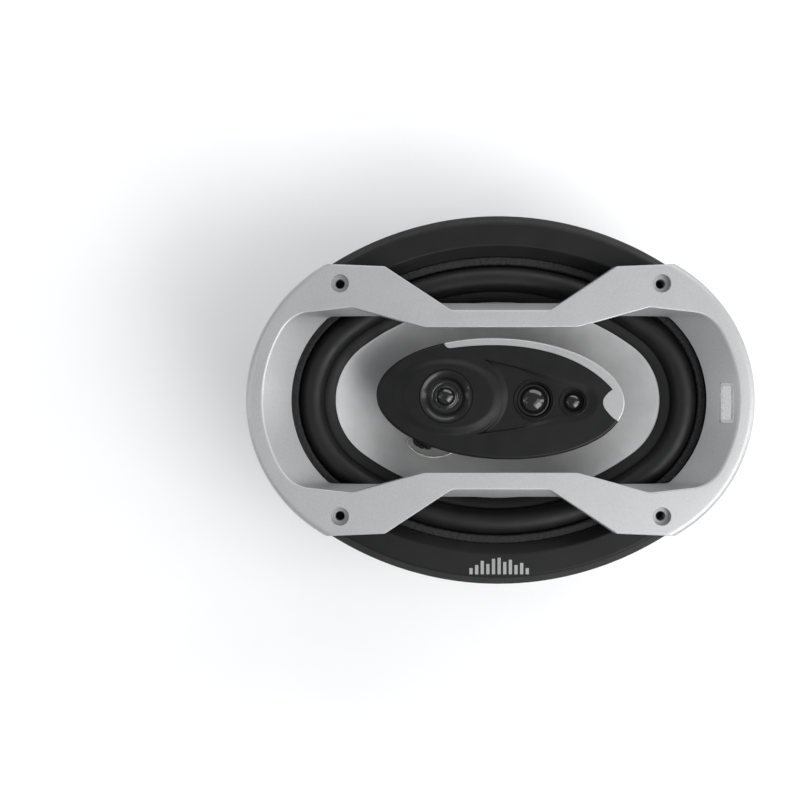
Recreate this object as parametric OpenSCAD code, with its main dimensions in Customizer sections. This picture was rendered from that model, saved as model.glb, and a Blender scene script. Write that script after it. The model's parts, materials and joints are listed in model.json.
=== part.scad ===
// Coaxial oval car speaker, 6x9 pattern.
// +Z points from the magnet to the listener, z = 0 is the rear face of the
// mounting flange, and the origin lies on the speaker's axis.
// Every oval is made of four arcs: two end arcs and two side arcs, whose
// centres form a 3-4-5 triangle. Ovals of the same family are parallel
// curves, so an oval is named by its half height b alone.

/* [Oval family] */
// Unit of the 3-4-5 triangle between the arc centres
oval_unit = 15.6; // [15.3:0.1:15.9]

/* [Trim ring] */
// Half height of the trim ring's outer edge
ring_b = 89; // [88.5:0.1:89.3]
// Height of the ring's flat face above the mounting plane
ring_face_z = 8; // [7.5:0.1:8.5]

/* [Mounting pattern] */
// Distance between the screw holes along the long axis
screw_x = 152; // [150:0.5:154]
// Distance between the screw holes along the short axis
screw_y = 110; // [108:0.5:112]
// Diameter of the screw holes through the bezel, trim ring and flange
screw_hole_d = 4.4; // [4.2:0.1:4.8]

/* [Bezel] */
// Height of the bezel's front face above the mounting plane
bezel_z = 20; // [19.5:0.1:21]
// Thickness of the bezel's shell
bezel_wall = 2.2; // [1.8:0.1:2.4]
// Half distance between the crossbars' inner edges
crossbar_y = 34.2; // [33.6:0.1:34.6]

/* [Basket] */
// Thickness of the basket's steel sheet
sheet = 1.2; // [0.8:0.1:1.4]
// Depth of the basket's floor behind the mounting plane
floor_depth = 36; // [35:0.5:37]
// Depth of the round well in the basket's floor
well_depth = 8; // [7.5:0.1:9]

/* [Cone and coil] */
// Half height of the visible cone's oval rim
cone_b = 47.7; // [47:0.1:48]
// Inner radius of the voice coil former
former_r = 15.5; // [15.5:0.1:15.8]
// Winding height of the voice coil
coil_h = 12; // [9:0.5:14]

/* [Motor] */
// Radius of the ferrite magnet
magnet_r = 46; // [43:0.5:52]
// Thickness of the ferrite magnet
magnet_h = 16; // [14:0.5:20]
// Thickness of the top plate and the yoke's back plate
plate_h = 6; // [5:0.5:7]

/* [Pod] */
// Half length of the pod that carries the small drivers
pod_x = 58.8; // [58:0.1:59.4]
// Half width of the pod
pod_y = 28.7; // [28:0.1:29.2]
// Angle between the pod's long axis and the speaker's long axis
pod_tilt = -2.4; // [-4:0.1:0]

/* [Hidden] */

// Oval arcs
join_angle = atan2(4, 3);
end_x = 3 * oval_unit;
side_y = 4 * oval_unit;
arc_overlap = 0.001;

// Ovals, by half height
flange_b = ring_b - 3;
step_b = ring_b - 19.4;
ledge_b = step_b - 4.4;
floor_b = ledge_b - 19.2;
ring_face_out_b = ring_b - 4;
ring_face_in_b = ring_b - 14.6;
ring_inner_b = ring_b - 19.6;
gasket_in_b = ring_b - 23.4;
roll_b = ring_b - 30;
bezel_clear_b = ring_b + 0.3;
roll_clear_b = ring_b - 22.4;

// Heights
ledge_z = -2.8;
rim_z = -2.2;
roll_r = 6.3;
surround_t = 0.7;
wall_slope = (floor_depth + ledge_z) / (ledge_b - floor_b);
sheet_x = sheet * sqrt(1 + 1 / pow(wall_slope, 2));
well_z = -floor_depth - well_depth;
plate_z = well_z - sheet;
magnet_z = plate_z - plate_h;
yoke_z = magnet_z - magnet_h;
back_z = yoke_z - plate_h;

// Coil and motor radii
former_t = 0.5;
coil_r = former_r + former_t;
coil_t = 0.9;
gap_r = coil_r + coil_t + 0.8;
pole_r = former_r - 0.5;
neck_z = -31;
former_z = neck_z + 1.5;
coil_mid_z = plate_z - plate_h / 2;
post_r = 4;

// Pod heights
pod_face_z = 18.6;
mound_z = 19.9;
trough_z = 17.4;
pod_split_z = 11;
pod_bottom_z = 1;
pod_wall = 2;
tweeter_x = -25.9;
mid_x = 15.9;
super_x = 34.6;

$fa = 4;
$fs = 0.6;

// ---- Oval sweeps -----------------------------------------------------

// Sweeps a profile round the oval of half height b. The profile's x is
// measured outwards from that oval.
module oval_sweep(b) {
    for (turn = [0, 180]) rotate(turn) {
        translate([end_x, 0, 0])
            rotate_extrude(start = -join_angle - arc_overlap, angle = 2 * (join_angle + arc_overlap))
                translate([b - oval_unit, 0]) children();
        translate([0, -side_y, 0])
            rotate_extrude(start = join_angle, angle = 180 - 2 * join_angle)
                translate([b + side_y, 0]) children();
    }
}

// Solid whose plan is an oval. edge lists [b, z] from the bottom up.
module oval_solid(edge) {
    low = edge[0][1];
    high = edge[len(edge) - 1][1];
    for (turn = [0, 180]) rotate(turn) {
        translate([end_x, 0, 0])
            rotate_extrude(start = -join_angle - arc_overlap, angle = 2 * (join_angle + arc_overlap))
                polygon(concat([[0, low]], [for (p = edge) [p[0] - oval_unit, p[1]]], [[0, high]]));
        translate([0, -side_y, 0])
            rotate_extrude(start = join_angle, angle = 180 - 2 * join_angle)
                polygon(concat([[0, low]], [for (p = edge) [p[0] + side_y, p[1]]], [[0, high]]));
    }
}

// Point of the oval of half height b whose normal points along the angle t
function oval_point(b, t) =
    abs(cos(t)) > cos(join_angle)
        ? [sign(cos(t)) * end_x + (b - oval_unit) * cos(t), (b - oval_unit) * sin(t)]
        : [(b + side_y) * cos(t), (b + side_y) * sin(t) - sign(sin(t)) * side_y];

module at_screws() {
    for (x = [-1, 1] * screw_x / 2, y = [-1, 1] * screw_y / 2)
        translate([x, y, 0]) children();
}

module ring(r_in, r_out, z0, z1) {
    translate([0, 0, z0]) difference() {
        cylinder(r = r_out, h = z1 - z0);
        translate([0, 0, -1]) cylinder(r = r_in, h = z1 - z0 + 2);
    }
}

module disc(r, z0, z1) {
    translate([0, 0, z0]) cylinder(r = r, h = z1 - z0);
}

// Flat plate with broken edges and a bore
module motor_plate(r_in, r_out, z0, z1) {
    edge = 0.8;
    rotate_extrude()
        polygon([[r_in, z0], [r_out - edge, z0], [r_out, z0 + edge],
                 [r_out, z1 - edge], [r_out - edge, z1], [r_in, z1]]);
}

// ---- Plans with straight edges ---------------------------------------

// Copies a quadrant's points into all four quadrants, counter-clockwise
function all_quadrants(q) = let (n = len(q) - 1) concat(
    q,
    [for (i = [n:-1:0]) [-q[i][0], q[i][1]]],
    [for (p = q) [-p[0], -p[1]]],
    [for (i = [n:-1:0]) [q[i][0], -q[i][1]]]);

function inward(p, q) = let (v = (q - p) / norm(q - p)) [-v[1], v[0]];

// Moves every edge of a counter-clockwise plan inwards by d
function inset(plan, d) = let (n = len(plan)) [
    for (i = [0:n - 1])
        let (a = inward(plan[(i + n - 1) % n], plan[i]), b = inward(plan[i], plan[(i + 1) % n]))
            plan[i] + d * (a + b) / (1 + a * b)];

// ---- Bezel -----------------------------------------------------------

crossbar_w = 8;
crossbar_h = 8;
crossbar_skirt = 3.8;
bezel_waist = all_quadrants([[130, 66.2], [54.8, 63.1], [22.9, crossbar_y + crossbar_w]]);
bezel_mouth = all_quadrants([[130, 36.7], [70.5, 43.8], [36.2, crossbar_y]]);
tray_z = 7;
tray_b = ring_b - 20.4;
tray_top_b = ring_b - 7.6;
tray_y = 40.2;
tray_top_y = 43.8;
edge_r = 3;
counterbore_r = 4.2;
counterbore_h = 4;
screw_boss_r = 5.8;
badge_size = [8, 19.5, 1];
badge_at = [107.6, -1.3];
roll_clear_z = bezel_z - crossbar_h - 1.5;
tray_angle = atan2(tray_top_b - tray_b, bezel_z - tray_z);

// Round solid on each end arc's centre. edge lists [b, z] from the bottom up.
module end_discs(edge) {
    low = edge[0][1];
    high = edge[len(edge) - 1][1];
    for (x = [-end_x, end_x]) translate([x, 0, 0]) rotate_extrude()
        polygon(concat([[0, low]], [for (p = edge) [p[0] - oval_unit, p[1]]], [[0, high]]));
}

// Solid inside the bezel's outer walls, moved inwards by d
module bezel_block(d) {
    intersection() {
        end_discs(concat(
            [[ring_b + 2.1 - d, 1.2]],
            [for (t = [0:15:90])
                [ring_b + 0.3 - edge_r + (edge_r - d) * cos(t), bezel_z - edge_r + (edge_r - d) * sin(t)]]));
        linear_extrude(2 * bezel_z) polygon(inset(bezel_waist, d));
    }
}

// Space inside the trays' sloped walls and between the crossbars, moved outwards by d
module bezel_mouth_space(d) {
    rise = 2 * (bezel_z - tray_z);
    grow = tray_top_b - tray_b;
    intersection() {
        end_discs([[tray_b - grow + 1.4 * d, 2 * tray_z - bezel_z],
                    [tray_b + 2 * grow + 1.4 * d, bezel_z + rise / 2]]);
        translate([0, 0, -bezel_z]) linear_extrude(4 * bezel_z) polygon(inset(bezel_mouth, -d));
        rotate([90, 0, 90]) linear_extrude(300, center = true)
            polygon([for (s = [[-1, -1], [1, -1], [1, 2], [-1, 2]])
                [s[0] * (tray_y + d + (tray_top_y - tray_y) * s[1]), tray_z + (bezel_z - tray_z) * s[1]]]);
    }
}

// One crossbar: a channel with a sloped outer skirt
module crossbar() {
    y0 = crossbar_y;
    y1 = y0 + crossbar_w;
    y2 = y1 + crossbar_skirt;
    z0 = bezel_z - crossbar_h;
    zs = z0 + 2;
    w = bezel_wall;
    rotate([90, 0, 90]) linear_extrude(72, center = true) difference() {
        polygon([[y0, z0], [y2, z0], [y2, zs], [y1, bezel_z], [y0, bezel_z]]);
        polygon([[y0 + w, z0 - 1], [y2 - w, z0 - 1], [y2 - w, zs - 1],
                 [y1 - w, bezel_z - w], [y0 + w, bezel_z - w]]);
    }
}

module bezel() {
    color("gainsboro") difference() {
        union() {
            difference() {
                bezel_block(0);
                bezel_block(bezel_wall);
            }
            intersection() {
                bezel_mouth_space(bezel_wall);
                bezel_block(0);
                translate([-150, -150, tray_z]) cube([300, 300, bezel_z - tray_z]);
            }
            crossbar();
            mirror([0, 1, 0]) crossbar();
            at_screws() disc(screw_boss_r, ring_face_z, bezel_z - 1);
        }
        bezel_mouth_space(0);
        end_discs([[bezel_clear_b, -1], [bezel_clear_b, ring_face_z]]);
        end_discs([[roll_clear_b, -1], [roll_clear_b, roll_clear_z]]);
        translate([-50, -80, -1]) cube([100, 160, roll_clear_z + 1]);
        at_screws() {
            disc(counterbore_r, bezel_z - counterbore_h, bezel_z + 1);
            disc(screw_hole_d / 2, 0, bezel_z);
        }
        at_badge() translate([-badge_size[0] / 2, -badge_size[1] / 2, -badge_size[2]]) cube(badge_size + [0, 0, 4]);
    }
}

// Frame of the badge pocket: on the right tray's slope, +Z out of the slope
module at_badge() {
    z = tray_z + (badge_at[0] - 2 * oval_unit - tray_b) / tan(tray_angle);
    translate([badge_at[0], badge_at[1], z]) rotate([0, -tray_angle, 0]) children();
}

module badge_blank() {
    gap = 0.1;
    color("silver") at_badge()
        translate([-badge_size[0] / 2 + gap, -badge_size[1] / 2 + gap, -badge_size[2]])
            cube([badge_size[0] - 2 * gap, badge_size[1] - 2 * gap, 0.5]);
}

// ---- Trim ring and gasket --------------------------------------------

module trim_ring() {
    wall = 2.4;
    foot_z = sheet;
    skirt_z = 3;
    color("dimgray") difference() {
        union() {
            oval_sweep(0) polygon([
                [ring_inner_b, foot_z], [ring_inner_b, skirt_z], [ring_face_in_b, ring_face_z],
                [ring_face_out_b, ring_face_z], [ring_b, skirt_z], [ring_b, 0],
                [flange_b + 0.2, 0], [flange_b + 0.2, skirt_z - 0.4],
                [ring_face_out_b - 1, ring_face_z - wall], [ring_face_in_b + 1, ring_face_z - wall],
                [ring_inner_b + wall, skirt_z - 1], [ring_inner_b + wall, foot_z]]);
            at_screws() disc(5, foot_z, ring_face_z - 1);
        }
        at_screws() disc(screw_hole_d / 2, -1, ring_face_z + 1);
    }
}

// Plain bars of unequal height on a common foot line, as on a level meter
module ring_mark() {
    bar = [1.6, 0.2];
    pitch = 2.7;
    levels = [3, 4.5, 6.5, 5, 7.5, 8, 6, 7, 4.5, 5.5, 3];
    last = len(levels) - 1;
    foot_y = -ring_face_out_b + 1.3;
    color("silver") for (i = [0:last])
        translate([(i - last / 2) * pitch - bar[0] / 2, foot_y, ring_face_z])
            cube([bar[0], levels[i], bar[1]]);
}

module gasket() {
    color("darkslategray") oval_sweep(0)
        translate([gasket_in_b, rim_z + 0.1]) square([ring_inner_b - gasket_in_b - 0.1, 5.1]);
}

// ---- Basket ----------------------------------------------------------

window_top_z = -9;
window_bottom_z = -31;
terminal_tilt = 90 + atan(1 / wall_slope);
terminal_z = -20.5;
pad_size = [40, 22, 3.1];

// Windows round one end of the basket and along one side
module window(arc_centre_x, arc_centre_y, mid_angle, width_angle) {
    translate([arc_centre_x, arc_centre_y, 0])
        rotate_extrude(start = mid_angle - width_angle / 2, angle = width_angle)
            translate([20, window_bottom_z]) square([120, window_top_z - window_bottom_z]);
}

module basket_windows() {
    for (turn = [0, 180]) rotate(turn) {
        for (i = [-1, 0, 1]) window(end_x, 0, 34 * i, 22);
        for (i = turn == 0 ? [-3, -1, 1, 3] : [-3, 3])
            intersection() {
                window(0, -side_y, 90 + 9.2 * i, 10.2);
                translate([-80, 0, -60]) cube([160, 100, 60]);
            }
    }
}

// Frame of the terminals: on the basket's lower side wall, +Z out of the wall
module at_terminal() {
    b = ledge_b + sheet_x + (terminal_z + 4) / wall_slope;
    translate([0, -b, terminal_z]) rotate([terminal_tilt, 0, 0]) children();
}

module basket() {
    floor_z = -floor_depth;
    floor_in_b = floor_b / 2;
    well_r = 39;
    color("darkgray") difference() {
        union() {
            oval_sweep(0) polygon([
                [flange_b, 0], [flange_b, sheet], [step_b, sheet], [step_b, ledge_z],
                [ledge_b, ledge_z], [floor_b, floor_z], [floor_b - 2, floor_z], [floor_b - 2, floor_z - sheet],
                [floor_b + sheet_x - sheet / wall_slope, floor_z - sheet],
                [ledge_b + sheet_x - sheet / wall_slope, ledge_z - sheet],
                [step_b + sheet, ledge_z - sheet], [step_b + sheet, 0]]);
            difference() {
                union() {
                    oval_sweep(0) translate([floor_in_b, floor_z - sheet]) square([floor_b - 1 - floor_in_b, sheet]);
                    translate([-floor_in_b - oval_unit, -floor_in_b - 1, floor_z - sheet])
                        cube([2 * (floor_in_b + oval_unit), 2 * floor_in_b + 2, sheet]);
                }
                disc(well_r, floor_z - 5, floor_z + 5);
            }
            rotate_extrude()
                polygon([[well_r + 1, floor_z], [well_r, floor_z], [well_r - 2, well_z],
                         [gap_r + 0.5, well_z], [gap_r + 0.5, plate_z],
                         [well_r - 1, plate_z], [well_r + 1, floor_z - sheet]]);
            difference() {
                at_terminal() translate([-pad_size[0] / 2, -pad_size[1] / 2, -1.7]) cube(pad_size);
                oval_solid([[ledge_b - 4, ledge_z], [ledge_b, ledge_z + 4]]);
            }
        }
        basket_windows();
        at_screws() disc(screw_hole_d / 2, -1, sheet + 1);
        at_rivets() disc(2, plate_z - 1, well_z + 1);
        at_terminal() {
            for (x = [-1, 1] * 16) translate([x, 0, -5]) cylinder(r = 1.5, h = 10);
            translate([-12.5, -6, -5]) cube([25, 12, 10]);
        }
    }
}

module at_rivets() {
    for (a = [45:90:315]) rotate(a) translate([29, 0, 0]) children();
}

module basket_rivets() {
    color("silver") at_rivets() {
        disc(2, magnet_z, well_z + 0.5);
        disc(3.6, well_z, well_z + 1);
    }
}

// ---- Cone, surround, spider and coil ---------------------------------

// Height of the cone's rear surface, s = 0 at the neck and 1 at the rim
cone_t = 0.8;
cone_rim_z = rim_z - cone_t;
function cone_z(s) = neck_z + (cone_rim_z - neck_z) * pow(s, 0.8);
function cone_loop(s, z) = [for (t = [0:5:355])
    let (p = (1 - s) * coil_r * [cos(t), sin(t)] + s * oval_point(cone_b, t)) [p[0], p[1], z]];

// The cone blends from the round neck to the oval rim, with a flat glue rim outside
module cone() {
    steps = [0, 0.12, 0.3, 0.5, 0.75, 1];
    n = 72;
    rim = [for (t = [0:5:355]) oval_point(cone_b + 4.6, t)];
    loops = concat(
        [for (s = steps) cone_loop(s, cone_z(s))],
        [[for (p = rim) [p[0], p[1], cone_rim_z]], [for (p = rim) [p[0], p[1], rim_z]]],
        [for (i = [len(steps) - 1:-1:0]) cone_loop(steps[i], cone_z(steps[i]) + cone_t * (1 + 0.5 * (1 - steps[i])))]);
    m = len(loops);
    color("lightgray") polyhedron(
        points = [for (l = loops) each l],
        faces = [for (i = [0:m - 1], j = [0:n - 1])
            let (a = i * n, b = ((i + 1) % m) * n, k = (j + 1) % n)
                each [[a + j, b + j, a + k], [b + j, b + k, a + k]]]);
}

module surround() {
    feet_z = rim_z + surround_t;
    color("black") oval_sweep(roll_b) union() {
        difference() {
            translate([0, feet_z]) circle(r = roll_r);
            translate([0, feet_z]) circle(r = roll_r - surround_t);
            translate([-10, feet_z - 20]) square([20, 20]);
        }
        translate([-roll_r - 5, rim_z]) square([5 + surround_t, surround_t]);
        translate([roll_r - surround_t, ledge_z]) square([surround_t, feet_z - ledge_z]);
        translate([roll_r - surround_t, ledge_z]) square([step_b - roll_b - roll_r + surround_t - 0.3, surround_t]);
    }
}

// Corrugated ring: [radius, height] along its mid surface
spider_z = -floor_depth + 0.25;
spider_waves = 6;
function spider_path() = concat(
    [[coil_r, spider_z]],
    [for (i = [0:spider_waves * 8])
        [19.5 + i * 17.5 / (spider_waves * 8), spider_z + 1.1 * sin(i * 45)]],
    [[floor_b - 3, spider_z]]);

module spider() {
    path = spider_path();
    half = [0, 0.25];
    n = len(path) - 1;
    color("goldenrod") rotate_extrude()
        polygon(concat([for (p = path) p - half], [for (i = [n:-1:0]) path[i] + half]));
}

module coil_former() {
    color("peru") ring(former_r, coil_r, coil_mid_z - coil_h / 2 - 1, former_z);
}

module voice_coil() {
    color("chocolate") ring(coil_r, coil_r + coil_t, coil_mid_z - coil_h / 2, coil_mid_z + coil_h / 2);
}

// Round wire along a list of points. side is a direction that the wire never takes.
module wire(points, d, side) {
    last = len(points) - 1;
    n = 8;
    rings = [for (i = [0:last])
        let (t = points[min(i + 1, last)] - points[max(i - 1, 0)],
             u = cross(t, side) / norm(cross(t, side)), v = cross(t, u) / norm(cross(t, u)))
            for (k = [0:n - 1]) points[i] + d / 2 * (cos(45 * k) * u + sin(45 * k) * v)];
    polyhedron(points = rings, faces = concat(
        [[for (k = [0:n - 1]) k]],
        [[for (k = [n - 1:-1:0]) last * n + k]],
        [for (i = [0:last - 1], k = [0:n - 1]) let (a = i * n + k, b = i * n + (k + 1) % n)
            each [[a, a + n, b], [b, a + n, b + n]]]));
}

// Adhesive over the joint of the coil's lead, square to the cone's surface
patch_at = [-36.7, -21.6, -12.6];
patch_turn = [0, 30.6, 60.6];

module cone_glue_patch() {
    color("black") translate(patch_at) rotate(patch_turn) scale([0.72, 1, 1]) cylinder(r1 = 4.4, r2 = 3.2, h = 2.2);
}

coil_lead_points = [
    [-40.3, -18.8, -12.4], [-41.7, -18.7, -12.0], [-43.3, -19.8, -11.0], [-43.6, -21.7, -10.1],
    [-42.2, -23.6, -9.5], [-40.3, -25.2, -9.4], [-38.2, -26.5, -9.4], [-35.0, -27.6, -9.7],
    [-31.5, -28.1, -10.4], [-27.6, -27.9, -11.6], [-24.0, -27.0, -13.1], [-20.6, -25.6, -15.0],
    [-17.9, -23.2, -17.3]];

module coil_lead() {
    color("silver") wire(coil_lead_points, 0.9, [0, 0, 1]);
}

// ---- Motor -----------------------------------------------------------

module top_plate() {
    color("darkgoldenrod") difference() {
        motor_plate(gap_r, magnet_r - 4, magnet_z, plate_z);
        at_rivets() disc(2, magnet_z - 1, plate_z + 1);
    }
}

module magnet() {
    color("dimgray") motor_plate(24, magnet_r, yoke_z, magnet_z);
}

nut_pocket_r = 9.5;
nut_pocket_h = 5;

module yoke() {
    bore_r = post_r + 0.2;
    nose = 1;
    color("darkgoldenrod") rotate_extrude() polygon([
        [bore_r, back_z + nut_pocket_h], [nut_pocket_r, back_z + nut_pocket_h], [nut_pocket_r, back_z],
        [magnet_r - 5, back_z], [magnet_r - 4, back_z + 1], [magnet_r - 4, yoke_z - 1], [magnet_r - 5, yoke_z],
        [pole_r, yoke_z], [pole_r, plate_z - nose], [pole_r - nose, plate_z], [bore_r, plate_z]]);
}

// ---- Post and its fasteners ------------------------------------------

module post() {
    collar_r = 6.5;
    color("silver") difference() {
        union() {
            disc(post_r, back_z + 0.8, pod_bottom_z + pod_wall + 5);
            disc(collar_r, plate_z, plate_z + 3);
        }
        disc(post_r - 1.5, back_z, pod_bottom_z + pod_wall + 6);
    }
}

module post_washer() {
    color("silver") ring(post_r, nut_pocket_r - 0.7, back_z + nut_pocket_h - 0.8, back_z + nut_pocket_h);
}

module post_nut() {
    h = 3.2;
    z = back_z + nut_pocket_h - 0.8 - h;
    color("gold") translate([0, 0, z]) difference() {
        cylinder(r = 7.4, h = h, $fn = 6);
        translate([0, 0, -1]) cylinder(r = post_r, h = h + 2);
    }
}

// ---- Pod -------------------------------------------------------------

module at_pod() {
    translate([0, 0.6, 0]) rotate(pod_tilt) children();
}

module at_driver(x) {
    at_pod() translate([x, 0, 0]) children();
}

// Elliptical frustum, r = half length, w = half width
module pod_frustum(r0, r1, z0, z1) {
    translate([0, 0, z0]) scale([1, pod_y / pod_x, 1]) cylinder(r1 = r0, r2 = r1, h = z1 - z0, $fn = 120);
}

mound_x = -25.8;
mound_r = 26.2;
mound_w = 18.5;

module mound(z0, z1) {
    translate([mound_x, 0, z0]) scale([1, mound_w / mound_r, 1])
        cylinder(r1 = mound_r, r2 = mound_r - 1.6, h = z1 - z0, $fn = 96);
}

// Tapering recess round the two small drivers
module trough() {
    translate([0, 0, trough_z]) linear_extrude(5) {
        polygon([
            [mound_x, 17], [-8, 19], [22.7, 12.6], [37.6, 10.2],
            [37.6, -9.2], [31, -10.4], [-12.4, -17.6], [mound_x, -17]]);
        translate([super_x + 1.6, 0.4]) circle(r = 9.8);
    }
}

// Cubic curve through a, leaving towards b and arriving at d from c
function bezier(a, b, c, d, t) =
    pow(1 - t, 3) * a + 3 * pow(1 - t, 2) * t * b + 3 * (1 - t) * t * t * c + pow(t, 3) * d;

// Plan of the crescent: a rounded tip, the inner edge, and a lobe round the super-tweeter
trim_plan = concat(
    [[-29, 34], [-28.1, 25.2], [-27.5, 24], [-26.6, 23.1]],
    [for (t = [0:0.1:1]) bezier([-25, 22.7], [1.7, 27.7], [33.6, 26.2], [52.5, 6.6], t)],
    [[50.8, 5.3], [49, 3.1], [48.2, 0.8], [48.8, -2], [50.8, -4.5], [53.3, -6.9], [55.8, -8.5],
     [66, -13], [66, 34]]);
trim_z = 16.4;

module trim_block(gap) {
    translate([0, 0, trim_z]) linear_extrude(10) polygon(inset(trim_plan, gap));
}

module pod_housing() {
    bevel = 1.2;
    color("dimgray") at_pod() difference() {
        union() {
            difference() {
                union() {
                    pod_frustum(pod_x, pod_x, pod_split_z, pod_face_z - bevel);
                    pod_frustum(pod_x, pod_x - bevel, pod_face_z - bevel, pod_face_z);
                }
                pod_frustum(pod_x - pod_wall, pod_x - pod_wall, pod_split_z - 1, trim_z - pod_wall);
                trough();
            }
            mound(trim_z, mound_z);
        }
        trim_block(0);
        translate([tweeter_x, 0, 0]) cylinder(r = 12.7, h = 30);
        translate([mid_x, 0, 0]) cylinder(r = 9.7, h = 30);
        translate([super_x, 0, 0]) cylinder(r = 6.8, h = 30);
    }
}

module pod_back() {
    boss_r = 8.5;
    rim = 1.5;
    color("black") difference() {
        union() {
            at_pod() difference() {
                union() {
                    pod_frustum(pod_x - 2, pod_x - 0.4, pod_split_z - rim, pod_split_z);
                    pod_frustum(pod_x * 0.62, pod_x - 2, pod_bottom_z, pod_split_z - rim);
                }
                pod_frustum(pod_x * 0.62 - 3, pod_x - 5, pod_bottom_z + pod_wall, pod_split_z + 0.01);
            }
            disc(boss_r, pod_bottom_z - 8, pod_bottom_z + pod_wall + 4);
        }
        disc(post_r, pod_bottom_z - 9, pod_split_z + 1);
    }
}

module pod_trim() {
    edge = 1;
    color("gainsboro") at_pod() intersection() {
        union() {
            pod_frustum(pod_x, pod_x, trim_z, pod_face_z - edge);
            pod_frustum(pod_x, pod_x - edge, pod_face_z - edge, pod_face_z + 0.2);
        }
        trim_block(0.05);
    }
}

// ---- Small drivers ---------------------------------------------------

// Thin spherical cap of base radius r and height h
module dome_cap(r, h, t, z) {
    big = (r * r + h * h) / (2 * h);
    translate([0, 0, z]) intersection() {
        translate([0, 0, h - big]) difference() {
            sphere(r = big);
            sphere(r = big - t);
        }
        cylinder(r = r, h = h + 1);
    }
}

dome_r = 6;
dome_z = 15.6;

module tweeter_horn() {
    color("black") at_driver(tweeter_x) rotate_extrude()
        polygon([[8.4, 15.4], [12.6, 15.4], [12.6, mound_z], [12, mound_z + 0.1], [8.4, 16.6]]);
}

module tweeter_dome() {
    color("black") at_driver(tweeter_x) dome_cap(dome_r, 2.6, 0.3, dome_z);
}

module tweeter_edge() {
    color("black") at_driver(tweeter_x) {
        rotate_extrude() difference() {
            translate([7.2, dome_z]) circle(r = 1.05);
            translate([7.2, dome_z]) circle(r = 0.8);
            translate([5, dome_z - 3]) square([5, 3]);
        }
        ring(8, 8.3, 15.2, dome_z + 0.2);
    }
}

module tweeter_coil() {
    color("chocolate") at_driver(tweeter_x) ring(dome_r - 0.35, dome_r, 12, dome_z);
}

module tweeter_pole_plate() {
    color("silver") at_driver(tweeter_x) disc(dome_r - 0.7, 12.6, 14.8);
}

module tweeter_magnet() {
    color("gray") at_driver(tweeter_x) disc(dome_r - 1.2, 8.8, 12.6);
}

module tweeter_cup() {
    color("silver") at_driver(tweeter_x) {
        disc(9, 7.6, 8.8);
        ring(dome_r + 0.4, 9, 8.8, 15);
        ring(dome_r + 0.4, 12.4, 14.2, 15.2);
    }
}

// Ring round a small driver: a flange under the face and a bevelled lip
module driver_ring(x, r_in, r_out, lip_z) {
    seat = trim_z - pod_wall;
    color("black") at_driver(x) rotate_extrude()
        polygon([[r_in, seat - 1], [r_out + 1, seat - 1], [r_out + 1, seat], [r_out, seat],
                 [r_out, lip_z], [r_out - 0.4, lip_z + 0.3], [r_in + 0.3, lip_z - 0.8], [r_in, lip_z - 1.2]]);
}

module driver_dome(x, r, flange_r, h) {
    base = trim_z - pod_wall;
    color("black") at_driver(x) {
        ring(r - 0.3, flange_r, base, base + 0.8);
        dome_cap(r, h, 0.4, base + 0.8);
    }
}

module mid_ring() driver_ring(mid_x, 8.2, 9.6, trough_z + 0.5);
module mid_dome() driver_dome(mid_x, 6.3, 8.15, 2.6);
module super_ring() driver_ring(super_x, 5.1, 6.7, trough_z + 0.5);
module super_dome() driver_dome(super_x, 4.3, 5.05, 2);

module mid_piezo_disc() {
    color("gold") at_driver(mid_x) disc(7.5, trim_z - pod_wall - 0.6, trim_z - pod_wall);
}

module super_piezo_disc() {
    color("gold") at_driver(super_x) disc(4.8, trim_z - pod_wall - 0.6, trim_z - pod_wall);
}

// ---- Terminals -------------------------------------------------------

pad_z = 1.4;
board = [38, 20, 1.6];
tab_x = 9;
tab_t = 0.8;

module terminal_board() {
    color("saddlebrown") at_terminal() difference() {
        translate([-board[0] / 2, -board[1] / 2, pad_z]) cube(board);
        for (x = [-16, -tab_x, tab_x, 16]) translate([x, 0, 0]) cylinder(r = 1.5, h = 9);
    }
}

// Push-on blade: a foot held by an eyelet, and a blade out of the board
module terminal_tab(x, w) {
    foot = 9;
    blade = 9;
    z = pad_z + board[2];
    color("gold") at_terminal() translate([x, 0, z]) {
        translate([-w / 2, -foot / 2, 0]) cube([w, foot, tab_t]);
        translate([-w / 2, foot / 2 - tab_t, 0]) cube([w, tab_t, blade]);
        translate([0, 0, -board[2] - 1]) cylinder(r = 1.5, h = board[2] + 2.2);
        translate([0, 0, -board[2] - 1]) cylinder(r = 2.2, h = 1);
    }
}

module terminal_tab_wide() terminal_tab(-tab_x, 6.3);
module terminal_tab_narrow() terminal_tab(tab_x, 4.8);

module terminal_rivets() {
    top = pad_z + board[2];
    color("silver") at_terminal() for (x = [-16, 16]) translate([x, 0, 0]) {
        translate([0, 0, -2.2]) cylinder(r = 1.5, h = top + 2.7);
        translate([0, 0, top]) cylinder(r = 2.8, h = 0.8);
    }
}

// Non-polar capacitor, glued along the basket's floor by the board
module crossover_capacitor() {
    r = 5;
    length = 19;
    lead = 4;
    color("royalblue") translate([29, -37.5, -floor_depth - sheet - r]) rotate([0, 90, 12]) {
        cylinder(r = r, h = length);
        translate([0, 0, -lead]) cylinder(r = 0.4, h = length + 2 * lead);
    }
}

// Leads between the board's eyelets and the back of the cone
tinsel_points = [
    [9.0, -55.9, -20.6], [9.1, -54.4, -20.4], [9.4, -52.8, -20.8], [9.7, -51.0, -21.9],
    [10.1, -49.0, -23.3], [10.5, -46.8, -24.5], [10.9, -44.4, -25.2], [11.2, -42.0, -25.4],
    [11.5, -39.6, -25.1], [11.7, -37.3, -24.3], [11.8, -35.2, -23.0], [11.9, -33.4, -21.5],
    [12.0, -31.9, -20.0], [12.0, -30.7, -18.4], [12.0, -30.0, -16.8]];

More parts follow.
